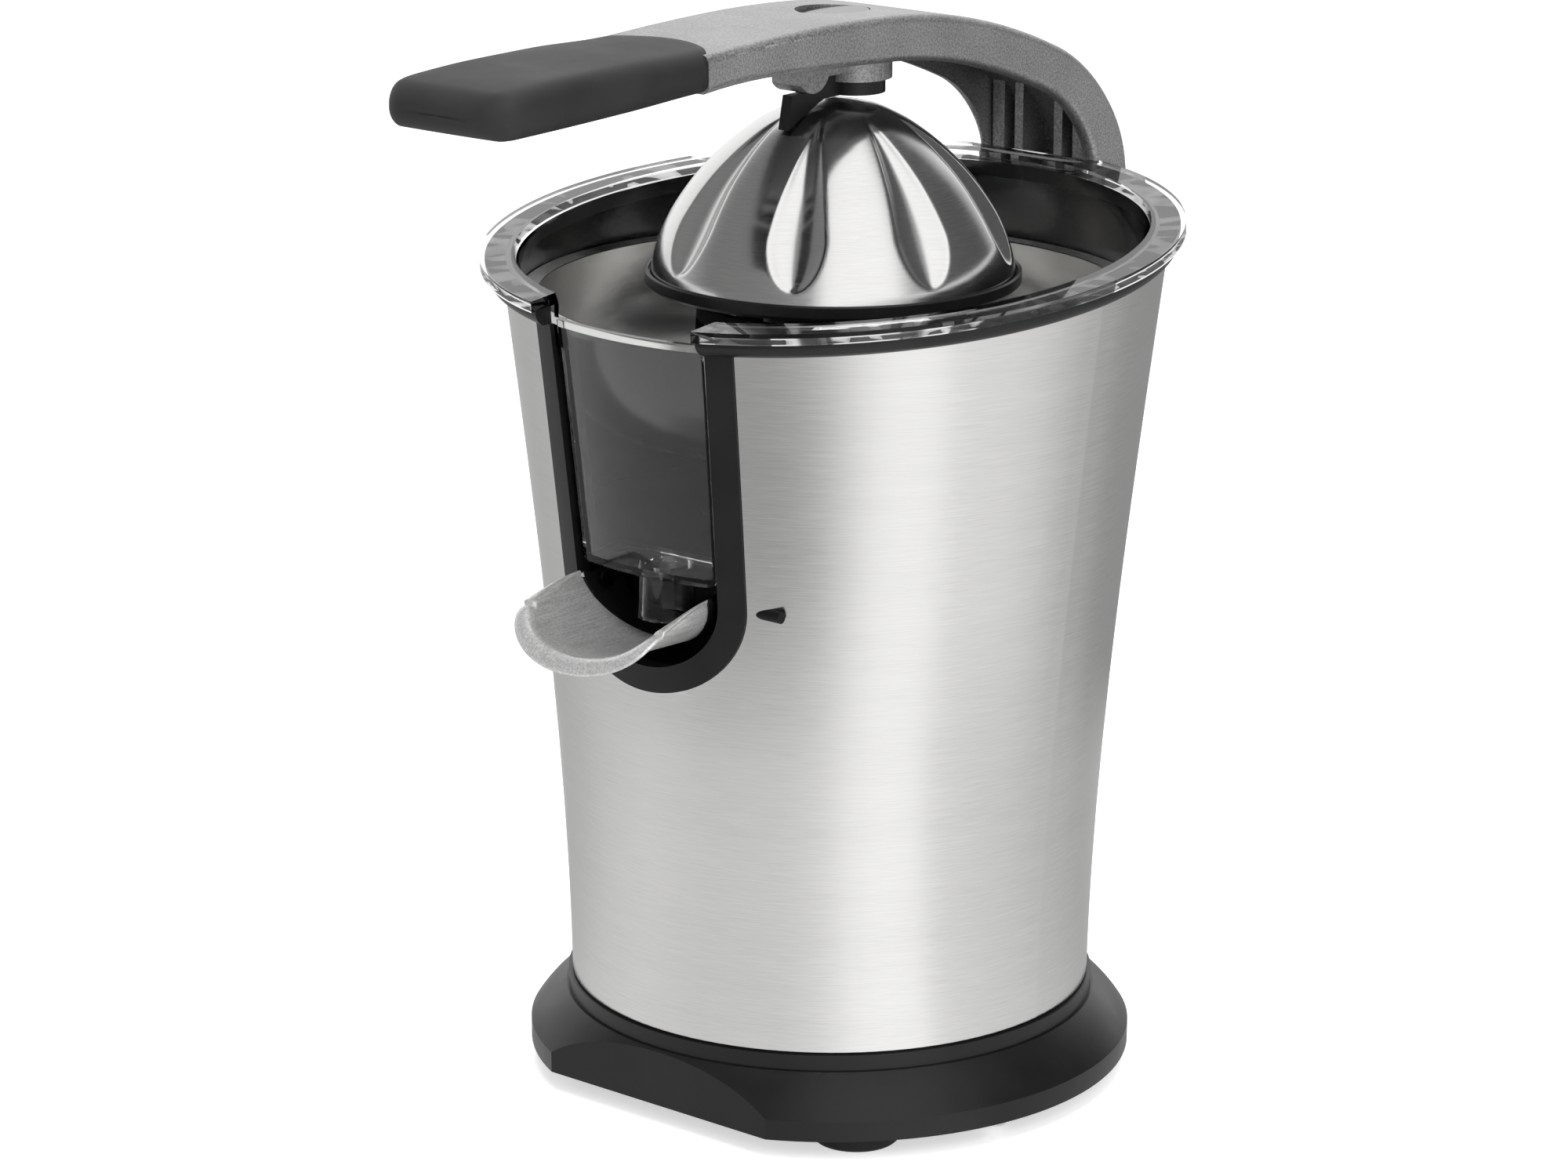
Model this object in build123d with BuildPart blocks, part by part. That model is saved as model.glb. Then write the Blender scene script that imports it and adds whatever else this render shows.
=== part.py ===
from build123d import *
import os
from math import acos, cos, pi, radians, sin, tan

# Motor-driven lever citrus press, millimetres, +Z up.
# Origin: on the axis of the body, at the surface the feet stand on.
# -Y is the front (spout and grip), +Y the back (lever hinge).

os.makedirs("parts", exist_ok=True)

# ---------------------------------------------------------------- body shell
shell_foot_z = 25.8
shell_curve_top_z = 235.8
shell_foot_r = 70.5
shell_low_ctrl_r = 71.7
shell_high_ctrl_r = 80.7
shell_top_r = 89.1
shell_wall = 0.8

# The rim is cut by a plane that rises towards the hinge.
rim_slope = 5.1
rim_z = 222.4
bezel_height = 4.5
flange_thick = 3.0
flange_r = shell_top_r + 3.9
flange_overhang = 2.0
bezel_outer_r = flange_r - flange_overhang
flange_inner_r = flange_r - 9.0
bowl_rim_wall_r = flange_r - 8.2
bowl_rim_inner_r = bowl_rim_wall_r - 1.6
bezel_inner_r = bowl_rim_wall_r + 1.3
bezel_round = 2.2
lever_notch_y = flange_r - 4.2
lever_notch_half_w = 21.5
drawing_top_z = 260.0

# ---------------------------------------------------------------- front slot
slot_half_w = 30.7
slot_shoulder_z = 148.0
slot_bottom_z = 121.0
slot_widening = 1.8 / 60.0
slot_draw_top_z = 250.0
trim_band = 7.0
rim_gap_half_w = slot_half_w - trim_band + 2.8
trim_proud = 0.5
trim_lining = 1.4
trim_lining_depth = 4.4
tunnel_inset = 3.2
tunnel_bore_inset = 5.5
panel_inset = 8.3
panel_recess = 1.2
panel_top_z = 216.6
panel_bottom_z = 152.0
pocket_back_y = -54.0
pocket_wall = 2.0

# ---------------------------------------------------------------- base
foot_r = 11.5
foot_height = 4.2
foot_stub_r = 6.0
cover_bottom_z = 4.2
cover_top_z = 6.6
skirt_bottom_z = 5.4
skirt_top_z = 11.0
skirt_r = 82.0
foot_ring_r = skirt_r - 17.0
cover_screw_ring_r = skirt_r - 8.0
cover_screw_spots = tuple(
    (cover_screw_ring_r * cos(radians(turn)), cover_screw_ring_r * sin(radians(turn)))
    for turn in (-15, 55, 125, 195)
)
flare_top_r = 72.3
seam_bottom_z = 21.0
seam_r = 71.6
seam_gap = 0.5
seam_gap_depth = 0.3
plinth_wall = 3.0
flare_rise = 0.5
cutout_y = -73.0
deck_z = 22.0
leg_positions = ((43.5, -43.5), (-43.5, -43.5), (56.0, 25.0), (-56.0, 25.0))
leg_r = 4.5

# ---------------------------------------------------------------- rear of the shell
hinge_screw_spots = ((-14.0, 186.0), (14.0, 186.0), (-14.0, 202.0), (14.0, 202.0))
hinge_screw_r = 1.85
gland_z = 44.0
gland_stem_r = 6.0
gland_neck_corner_r = 1.6
gland_bore_r = 3.4

# ---------------------------------------------------------------- inner housing
bucket_gap = 0.4
bucket_wall = 3.2
bucket_top_z = 208.0
floor_low_z = 146.0
floor_high_z = 148.5
collar_r = 11.0
collar_bore_r = 8.1
collar_top_z = 180.0

deck_screws = ((-31.0, -11.3), (31.0, -11.3), (23.0, 45.7), (-23.0, 45.7))

# ---------------------------------------------------------------- juice bowl
bowl_gap = 0.8
bowl_wall = 1.8
bowl_step_low_z = 207.6
bowl_step_high_z = 212.2
bowl_floor_outer_z = 152.6
bowl_floor_inner_z = 156.0
bowl_tube_r = 14.4
bowl_tube_bore_r = 12.6
bowl_tube_top_z = 198.0
nozzle_y = -68.2
nozzle_r = 7.6
nozzle_bore_r = 6.0
nozzle_bottom_z = 139.5

# ---------------------------------------------------------------- sieve
sieve_rim_r = bowl_rim_inner_r - 0.3
sieve_mouth_r = sieve_rim_r - 4.9
sieve_rim_z = 214.2
sieve_wall = 0.8
sieve_floor_z = 178.0
turret_r = 37.5
turret_bore_r = 21.0
turret_foot_r = turret_r + 3.5
turret_top_z = sieve_floor_z + 33.5
turret_tube_top_z = sieve_floor_z + 22.0

# ---------------------------------------------------------------- spout
spout_pivot_y = -70.0
spout_pivot_z = 146.5
spout_back_y = -61.6
spout_nose_y = -108.8
spout_wall = 0.8

# ---------------------------------------------------------------- cone
cone_base_r = 48.4
cone_foot_z = 218.9
cone_top_z = 265.2
flute_count = 8
flute_first_angle = 26.0
collar_disc_r = 49.8
collar_disc_low_z = 216.2
cone_skirt_r = 18.4
cone_core_r = 8.6
press_travel = 2.0

# ---------------------------------------------------------------- lever
lever_half_w = 20.0
cheek = 3.5
skin = 3.2
pivot_y = 98.0
pivot_z = 218.0
pivot_r = 3.0
foot_round_r = 8.0
boss_y = 8.5
boss_r = 10.0
boss_low_z = 269.6
presser_hub_r = 8.2
grip_back_y = -75.0
grip_tip_y = -151.0
grip_half_w = 21.0
grip_corner_r = 8.0
grip_edge_r = 2.4
presser_low_z = cone_top_z + 0.6

# ---------------------------------------------------------------- drive
idler_x = 0.0
idler_y = 32.4
idler_pin_r = 2.5
gear_floor_z = 113.0
pinion_low_z = 116.5
idler_wheel_low_z = 118.0
idler_pinion_low_z = 122.0
output_gear_low_z = 130.0
gear_lid_z = 140.5
gear_lid_top_z = 142.9
box_wall = 2.5
output_box_r = 29.5
idler_box_r = 23.0
hub_r = 7.0
shaft_low_z = 108.0
shaft_shoulder_z = 152.0
shaft_round_z = 154.0
shaft_hex_z = 186.0
shaft_top_z = 209.0
switch_y = -3.3
switch_low_z = 95.2
switch_screw_spots = ((-6.0, 98.0), (6.0, 98.0))
motor_shaft_r = 3.0
motor_shaft_low_z = 21.0
fan_low_z = 22.0
stack_low_z = 48.0
stack_high_z = 80.0
rotor_r = 18.6
stator_bore_r = rotor_r + 0.5
motor_plate = 66.0
motor_bolt_pitch = 58.0
lower_seat_z = 31.0
upper_seat_z = 85.4
small_teeth = 16
big_teeth = 56
module_out = 0.9
module_in = 0.7
motor_angle = 30.0
motor_x = (small_teeth + big_teeth) / 2 * module_in * sin(radians(motor_angle))
motor_y = idler_y - (small_teeth + big_teeth) / 2 * module_in * cos(radians(motor_angle))
shaft_r = 5.0
hex_flats = 8.0
running_gap = 0.05

rim_plane = Plane(
    origin=(0, 0, rim_z),
    x_dir=(1, 0, 0),
    z_dir=(0, -sin(radians(rim_slope)), cos(radians(rim_slope))),
)


def shell_radius(z):
    """Outer radius of the steel shell at height z."""
    t = (z - shell_foot_z) / (shell_curve_top_z - shell_foot_z)
    s = 1 - t
    low = s**3 * shell_foot_r + 3 * s * s * t * shell_low_ctrl_r
    return low + 3 * s * t * t * shell_high_ctrl_r + t**3 * shell_top_r


def shell_line(inset):
    """Shell silhouette in the XZ plane, moved inwards by inset."""
    rise = (shell_curve_top_z - shell_foot_z) / 3
    return Bezier(
        (shell_foot_r - inset, shell_foot_z),
        (shell_low_ctrl_r - inset, shell_foot_z + rise),
        (shell_high_ctrl_r - inset, shell_foot_z + 2 * rise),
        (shell_top_r - inset, shell_curve_top_z),
    )


def shell_layer(outer_inset, inner_inset):
    """Closed profile between two copies of the shell silhouette."""
    outer = shell_line(outer_inset)
    inner = shell_line(inner_inset)
    Line(outer @ 0, inner @ 0)
    Line(outer @ 1, inner @ 1)


def slot_outline(inset, top_z=slot_draw_top_z):
    """U-shaped outline of the front slot, inset from its outer edge."""
    low_w = slot_half_w - inset
    top_w = low_w + slot_widening * (top_z - slot_shoulder_z)
    Line((-top_w, top_z), (-low_w, slot_shoulder_z))
    EllipticalCenterArc(
        (0, slot_shoulder_z),
        low_w,
        slot_shoulder_z - slot_bottom_z - inset,
        start_angle=180,
        arc_size=180,
    )
    Line((low_w, slot_shoulder_z), (top_w, top_z))
    Line((top_w, top_z), (-top_w, top_z))


def gear_outline(teeth, module, tooth_angle, backlash=0.3):
    """Involute gear outline with one tooth centred on tooth_angle."""
    pitch_r = teeth * module / 2
    base_r = pitch_r * cos(radians(20))
    root_r = pitch_r - 1.2 * module
    tip_r = pitch_r + 0.8 * module
    half = pi / (2 * teeth) - backlash / (2 * pitch_r) + tan(radians(20)) - radians(20)
    stations = [base_r, (base_r + pitch_r) / 2, pitch_r, (pitch_r + tip_r) / 2, tip_r]
    flank = [(root_r, half)] if root_r < base_r else []
    for r in stations:
        if r >= root_r:
            a = acos(base_r / r)
            flank.append((r, half - tan(a) + a))
    points = []
    for tooth in range(teeth):
        middle = radians(tooth_angle) + 2 * pi * tooth / teeth
        for r, a in flank:
            points.append((r * cos(middle - a), r * sin(middle - a)))
        for r, a in reversed(flank):
            points.append((r * cos(middle + a), r * sin(middle + a)))
    Polyline(*points, close=True)


# ================================================================ base group
with BuildPart() as plinth_cavity:
    with BuildSketch(Plane.XZ):
        with BuildLine():
            wall = plinth_wall
            Polyline(
                (0, skirt_bottom_z - 1),
                (skirt_r - wall, skirt_bottom_z - 1),
                (skirt_r - wall, skirt_top_z - 1),
            )
            ThreePointArc(
                (skirt_r - wall, skirt_top_z - 1),
                (
                    (skirt_r + flare_top_r - 1.5) / 2 - wall + flare_rise / 2,
                    (skirt_top_z + deck_z) / 2 - 2 + flare_rise / 2,
                ),
                (flare_top_r - wall - 1.5, deck_z - 3),
            )
            Polyline(
                (flare_top_r - wall - 1.5, deck_z - 3),
                (0, deck_z - 3),
                (0, skirt_bottom_z - 1),
            )
        make_face()
    revolve(axis=Axis.Z)
    with BuildSketch(Plane.XY.offset(0)):
        with Locations((0, cutout_y + wall - 20)):
            Rectangle(200, 40)
    extrude(amount=40, mode=Mode.SUBTRACT)

with BuildPart() as base_plinth:
    with BuildSketch(Plane.XZ):
        with BuildLine():
            Polyline(
                (0, seam_bottom_z),
                (0, skirt_bottom_z),
                (skirt_r, skirt_bottom_z),
                (skirt_r, skirt_top_z),
            )
            ThreePointArc(
                (skirt_r, skirt_top_z),
                (
                    (skirt_r + flare_top_r) / 2 + flare_rise,
                    (skirt_top_z + seam_bottom_z) / 2 + flare_rise,
                ),
                (flare_top_r, seam_bottom_z),
            )
            Line((flare_top_r, seam_bottom_z), (0, seam_bottom_z))
        make_face()
    revolve(axis=Axis.Z)
    with BuildSketch(Plane.XY):
        with Locations((0, cutout_y - 20)):
            Rectangle(200, 40)
    extrude(amount=40, mode=Mode.SUBTRACT)
    add(plinth_cavity.part, mode=Mode.SUBTRACT)
    # seam band under the steel shell and the lip that centres the shell
    with BuildSketch(Plane.XY.offset(seam_bottom_z - 0.5)):
        Circle(seam_r)
    extrude(amount=shell_foot_z - seam_gap - seam_bottom_z + 0.5)
    with BuildSketch(Plane.XY.offset(shell_foot_z - seam_gap - 0.5)):
        Circle(shell_foot_r - seam_gap_depth)
    extrude(amount=seam_gap + 0.5)
    with BuildSketch(Plane.XY.offset(shell_foot_z)):
        Circle(shell_foot_r - shell_wall - 0.3)
    extrude(amount=5.0)
    # open machine bay and the screw posts of the cover
    with BuildSketch(Plane.XY.offset(0)):
        Circle(shell_foot_r - shell_wall - 3.0)
    extrude(amount=60, mode=Mode.SUBTRACT)
    with BuildSketch(Plane.XY.offset(deck_z - 3)):
        with Locations(*leg_positions):
            Circle(leg_r + 3)
    extrude(amount=3)
    with BuildSketch(Plane.XY.offset(cover_top_z)):
        with Locations(*cover_screw_spots):
            Circle(3.6)
    extrude(amount=8)
    with BuildSketch(Plane.XY.offset(cover_top_z)):
        with Locations(*cover_screw_spots):
            Circle(1.35)
    extrude(amount=7, mode=Mode.SUBTRACT)
    with BuildSketch(Plane.XY.offset(deck_z - 4)):
        with Locations(*leg_positions):
            Circle(2.2)
    extrude(amount=6, mode=Mode.SUBTRACT)
base_plinth.part.label = "base_plinth"
export_step(base_plinth.part, "parts/base_plinth.step")

with BuildPart() as base_cover:
    with BuildSketch(Plane.XY.offset(cover_bottom_z)):
        Circle(skirt_r - plinth_wall - 0.6)
        with Locations((0, cutout_y + plinth_wall + 0.6 - 20)):
            Rectangle(200, 40, mode=Mode.SUBTRACT)
    extrude(amount=cover_top_z - cover_bottom_z)
    # sockets for the rubber feet
    with BuildSketch(Plane.XY.offset(cover_bottom_z)):
        with PolarLocations(foot_ring_r, 4, start_angle=45):
            Circle(foot_stub_r + 0.1)
    extrude(amount=3, mode=Mode.SUBTRACT)
    with BuildSketch(Plane.XY.offset(cover_bottom_z)):
        with PolarLocations(foot_ring_r, 4, start_angle=45):
            Circle(foot_stub_r + 2.0)
            Circle(foot_stub_r + 0.1, mode=Mode.SUBTRACT)
    extrude(amount=5.4)
    # cooling slots under the motor fan
    with BuildSketch(Plane.XY.offset(cover_bottom_z)):
        with Locations((motor_x, motor_y)):
            with GridLocations(0, 7, 1, 7):
                SlotOverall(40, 3)
    extrude(amount=6, mode=Mode.SUBTRACT)
    with BuildSketch(Plane.XY.offset(cover_bottom_z)):
        with Locations(*cover_screw_spots):
            Circle(1.8)
    extrude(amount=3, mode=Mode.SUBTRACT)
base_cover.part.label = "base_cover"
export_step(base_cover.part, "parts/base_cover.step")

with BuildPart() as rubber_feet:
    with BuildSketch(Plane.XY):
        with PolarLocations(foot_ring_r, 4, start_angle=45):
            Circle(foot_r)
    extrude(amount=cover_bottom_z)
    chamfer(rubber_feet.edges().group_by(Axis.Z)[0], 0.6)
    with BuildSketch(Plane.XY.offset(cover_bottom_z)):
        with PolarLocations(foot_ring_r, 4, start_angle=45):
            Circle(foot_stub_r)
    extrude(amount=3.2)
rubber_feet.part.label = "rubber_feet"
export_step(rubber_feet.part, "parts/rubber_feet.step")

with BuildPart() as base_cover_screws:
    with BuildSketch(Plane.XY.offset(cover_bottom_z - 2.0)):
        with Locations(*cover_screw_spots):
            Circle(3.0)
    extrude(amount=2.0)
    with BuildSketch(Plane.XY.offset(cover_bottom_z - 2.0)):
        with Locations(*cover_screw_spots):
            Circle(1.3)
    extrude(amount=11.0)
    with BuildSketch(Plane.XY.offset(cover_bottom_z - 2.0)):
        with Locations(*cover_screw_spots):
            Rectangle(3.6, 0.7)
            Rectangle(0.7, 3.6)
    extrude(amount=1.1, mode=Mode.SUBTRACT)
base_cover_screws.part.label = "base_cover_screws"
export_step(base_cover_screws.part, "parts/base_cover_screws.step")

with BuildPart() as chassis_screws:
    with BuildSketch(Plane.XY.offset(deck_z - 3 - 2.4)):
        with Locations(*leg_positions):
            Circle(3.5)
    extrude(amount=2.4)
    with BuildSketch(Plane.XY.offset(deck_z - 3)):
        with Locations(*leg_positions):
            Circle(1.9)
    extrude(amount=14)
chassis_screws.part.label = "chassis_screws"
export_step(chassis_screws.part, "parts/chassis_screws.step")

# ================================================================ shell group
with BuildPart() as body_shell:
    with BuildSketch(Plane.XZ):
        with BuildLine():
            shell_layer(0, shell_wall)
        make_face()
    revolve(axis=Axis.Z)
    split(bisect_by=rim_plane, keep=Keep.BOTTOM)
    with BuildSketch(Plane.XZ.offset(30)):
        with BuildLine():
            slot_outline(-0.1)
        make_face()
    extrude(amount=80, mode=Mode.SUBTRACT)
    # screw holes of the hinge housing
    with BuildSketch(Plane.XZ.offset(-40)):
        with Locations(*hinge_screw_spots):
            Circle(hinge_screw_r + 0.55)
    extrude(amount=-60, mode=Mode.SUBTRACT)
    # square hole of the cord gland
    with BuildSketch(Plane.XZ.offset(-40)):
        with Locations((0, gland_z)):
            side = 2 * gland_stem_r + 0.4
            RectangleRounded(side, side, gland_neck_corner_r + 0.2)
    extrude(amount=-60, mode=Mode.SUBTRACT)
body_shell.part.label = "body_shell"
export_step(body_shell.part, "parts/body_shell.step")

with BuildPart() as trim_layer:
    with BuildSketch(Plane.XZ):
        with BuildLine():
            shell_layer(-trim_proud, 1.0)
        make_face()
    revolve(axis=Axis.Z)
    split(bisect_by=rim_plane, keep=Keep.BOTTOM)

with BuildPart() as lining_layer:
    with BuildSketch(Plane.XZ):
        with BuildLine():
            shell_layer(-trim_proud, trim_lining_depth)
        make_face()
    revolve(axis=Axis.Z)
    split(bisect_by=Plane.XY.offset(bowl_step_low_z - 1.6), keep=Keep.BOTTOM)

with BuildPart() as trim_lining_ring:
    with BuildSketch(Plane.XZ.offset(30)):
        with BuildLine():
            slot_outline(trim_band - trim_lining)
        make_face()
        with BuildLine():
            slot_outline(trim_band, slot_draw_top_z + 1)
        make_face(mode=Mode.SUBTRACT)
    extrude(amount=80)
    add(lining_layer.part, mode=Mode.INTERSECT)

with BuildPart() as slot_trim:
    with BuildSketch(Plane.XZ.offset(30)):
        with BuildLine():
            slot_outline(0)
        make_face()
        with BuildLine():
            slot_outline(trim_band, slot_draw_top_z + 1)
        make_face(mode=Mode.SUBTRACT)
    extrude(amount=80)
    add(trim_layer.part, mode=Mode.INTERSECT)
    add(trim_lining_ring.part)
    # holes for the two spout pivots
    with BuildSketch(Plane.YZ.offset(-40)):
        with Locations((spout_pivot_y, spout_pivot_z)):
            Circle(1.6)
    extrude(amount=80, mode=Mode.SUBTRACT)
slot_trim.part.label = "slot_trim"
export_step(slot_trim.part, "parts/slot_trim.step")

with BuildPart() as rim_bezel:
    with BuildSketch(Plane(origin=rim_plane.origin, x_dir=rim_plane.x_dir, z_dir=-rim_plane.y_dir)):
        with BuildLine():
            Polyline(
                (bezel_inner_r, bezel_height),
                (bezel_outer_r + 0.6, bezel_height),
                (bezel_outer_r + 0.6, bezel_height - 1.2),
            )
            ThreePointArc(
                (bezel_outer_r + 0.6, bezel_height - 1.2),
                (bezel_outer_r - 0.3, 1.4),
                (bezel_outer_r - bezel_round, 0.1),
            )
            Polyline(
                (bezel_outer_r - bezel_round, 0.1),
                (bezel_inner_r, 0.1),
                (bezel_inner_r, bezel_height),
            )
        make_face()
    revolve(axis=Axis(rim_plane.origin, rim_plane.z_dir))
    # the bezel is open in front, over the slot
    with BuildSketch(Plane.XY.offset(200)):
        with Locations((0, -bezel_outer_r)):
            Rectangle(2 * rim_gap_half_w, 40)
    extrude(amount=60, mode=Mode.SUBTRACT)
    # flat of the bezel in front of the lever
    with BuildSketch(Plane.XY.offset(200)):
        with Locations((0, lever_notch_y + 20)):
            Rectangle(2 * lever_notch_half_w, 40)
    extrude(amount=60, mode=Mode.SUBTRACT)
rim_bezel.part.label = "rim_bezel"
export_step(rim_bezel.part, "parts/rim_bezel.step")

# ================================================================ inner housing
with BuildPart() as inner_envelope:
    with BuildSketch(Plane.XZ):
        with BuildLine():
            edge = shell_line(shell_wall + bucket_gap)
            Line(edge @ 0, (0, shell_foot_z))
            Line((0, shell_foot_z), (0, shell_curve_top_z))
            Line((0, shell_curve_top_z), edge @ 1)
        make_face()
    revolve(axis=Axis.Z)

with BuildPart() as bucket_bore:
    with BuildSketch(Plane.XZ):
        with BuildLine():
            edge = shell_line(shell_wall + bucket_gap + bucket_wall)
            Line(edge @ 0, (0, shell_foot_z))
            Line((0, shell_foot_z), (0, shell_curve_top_z))
            Line((0, shell_curve_top_z), edge @ 1)
        make_face()
    revolve(axis=Axis.Z)
    with BuildSketch(Plane.XY.offset(0)):
        Circle(shell_top_r + 1)
    extrude(amount=floor_high_z, mode=Mode.SUBTRACT)

with BuildPart() as tunnel_outer:
    with BuildSketch(Plane.XZ.offset(-pocket_back_y - pocket_wall)):
        with BuildLine():
            slot_outline(tunnel_inset, floor_high_z)
        make_face()
    extrude(amount=60)

with BuildPart() as tunnel_bore:
    with BuildSketch(Plane.XZ.offset(-pocket_back_y)):
        with BuildLine():
            slot_outline(tunnel_bore_inset)
        make_face()
    extrude(amount=60)

with BuildPart() as inner_housing:
    with BuildSketch(Plane.XY.offset(floor_low_z)):
        Circle(shell_top_r)
    extrude(amount=bucket_top_z - floor_low_z)
    add(bucket_bore.part, mode=Mode.SUBTRACT)
    add(tunnel_outer.part)
    add(inner_envelope.part, mode=Mode.INTERSECT)
    add(tunnel_bore.part, mode=Mode.SUBTRACT)
    # collar around the drive shaft
    with BuildSketch(Plane.XY.offset(floor_low_z)):
        Circle(collar_r)
    extrude(amount=collar_top_z - floor_low_z)
    with BuildSketch(Plane.XY.offset(floor_low_z)):
        Circle(collar_bore_r)
    extrude(amount=collar_top_z - floor_low_z, mode=Mode.SUBTRACT)
    # legs down to the base and bosses for the gearbox
    with BuildSketch(Plane.XY.offset(deck_z)):
        with Locations(*leg_positions):
            Circle(leg_r)
    extrude(amount=floor_low_z - deck_z)
    with BuildSketch(Plane.XY.offset(deck_z)):
        with Locations(*leg_positions):
            Circle(2.0)
    extrude(amount=16, mode=Mode.SUBTRACT)
    with BuildSketch(Plane.XY.offset(floor_low_z - 3)):
        with Locations(*deck_screws):
            Circle(6.0)
    extrude(amount=3)
    with BuildSketch(Plane.XY.offset(floor_low_z - 3)):
        with Locations(*deck_screws):
            Circle(2.1)
    extrude(amount=6, mode=Mode.SUBTRACT)
    with BuildSketch(Plane.XY.offset(floor_high_z)):
        with Locations(*deck_screws):
            Circle(4.0)
    extrude(amount=-1.8, mode=Mode.SUBTRACT, taper=40)
    # holes for the spout pivots and the hinge screws
    with BuildSketch(Plane.YZ.offset(-40)):
        with Locations((spout_pivot_y, spout_pivot_z)):
            Circle(1.5)
    extrude(amount=80, mode=Mode.SUBTRACT)
    with BuildSketch(Plane.XZ.offset(-40)):
        with Locations(*hinge_screw_spots):
            Circle(hinge_screw_r + 0.05)
    extrude(amount=-60, mode=Mode.SUBTRACT)
inner_housing.part.label = "inner_housing"
export_step(inner_housing.part, "parts/inner_housing.step")

with BuildPart() as deck_screw_set:
    with BuildSketch(Plane.XY.offset(floor_high_z - 0.2)):
        with Locations(*deck_screws):
            Circle(3.7)
    extrude(amount=-1.55, taper=40)
    with BuildSketch(Plane.XY.offset(floor_high_z - 1.0)):
        with Locations(*deck_screws):
            Circle(1.95)
    extrude(amount=-20)
deck_screw_set.part.label = "deck_screws"
export_step(deck_screw_set.part, "parts/deck_screws.step")

# ================================================================ juice bowl
bowl_out_inset = shell_wall + bucket_gap + bucket_wall + bowl_gap
bowl_in_inset = bowl_out_inset + bowl_wall
floor_r = shell_radius(bowl_floor_outer_z) - bowl_out_inset
mid_z = (bowl_floor_outer_z + bowl_step_low_z) / 2

with BuildPart() as bowl_bore:
    with BuildSketch(Plane.XZ):
        with BuildLine():
            low_r = floor_r - bowl_wall
            step_r = shell_radius(bowl_step_low_z) - bowl_in_inset
            Line((0, drawing_top_z), (0, bowl_floor_inner_z + bowl_wall))
            Line((0, bowl_floor_inner_z + bowl_wall), (low_r, bowl_floor_outer_z + bowl_wall))
            ThreePointArc(
                (low_r, bowl_floor_outer_z + bowl_wall),
                (shell_radius(mid_z) - bowl_in_inset, mid_z),
                (step_r, bowl_step_low_z + 0.8),
            )
            Polyline(
                (step_r, bowl_step_low_z + 0.8),
                (bowl_rim_inner_r, bowl_step_high_z + 0.7),
                (bowl_rim_inner_r, drawing_top_z),
                (0, drawing_top_z),
            )
        make_face()
    revolve(axis=Axis.Z)

with BuildPart() as panel_limit:
    with BuildSketch(Plane.XZ):
        with BuildLine():
            edge = shell_line(panel_recess)
            Polyline(edge @ 0, (0, shell_foot_z), (0, shell_curve_top_z), edge @ 1)
        make_face()
    revolve(axis=Axis.Z)

with BuildPart() as panel_bore_limit:
    with BuildSketch(Plane.XZ):
        with BuildLine():
            edge = shell_line(panel_recess + bowl_wall)
            Polyline(edge @ 0, (0, shell_foot_z), (0, shell_curve_top_z), edge @ 1)
        make_face()
    revolve(axis=Axis.Z)

with BuildPart() as panel_bore:
    with BuildSketch(Plane.XZ.offset(60.8)):
        with BuildLine():
            slot_outline(panel_inset + bowl_wall)
        make_face()
        with Locations((0, panel_bottom_z + bowl_wall + 60)):
            Rectangle(80, 120, mode=Mode.INTERSECT)
    extrude(amount=60)
    add(panel_bore_limit.part, mode=Mode.INTERSECT)

with BuildPart() as panel_box:
    with BuildSketch(Plane.XZ.offset(60)):
        with BuildLine():
            slot_outline(panel_inset)
        make_face()
        with Locations((0, (panel_bottom_z + panel_top_z) / 2)):
            Rectangle(80, panel_top_z - panel_bottom_z, mode=Mode.INTERSECT)
    extrude(amount=60)
    fillet(panel_box.edges().filter_by(Axis.Y).group_by(Axis.Z)[0], 2.4)
    add(panel_limit.part, mode=Mode.INTERSECT)
    add(panel_bore.part, mode=Mode.SUBTRACT)
    add(bowl_bore.part, mode=Mode.SUBTRACT)

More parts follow.
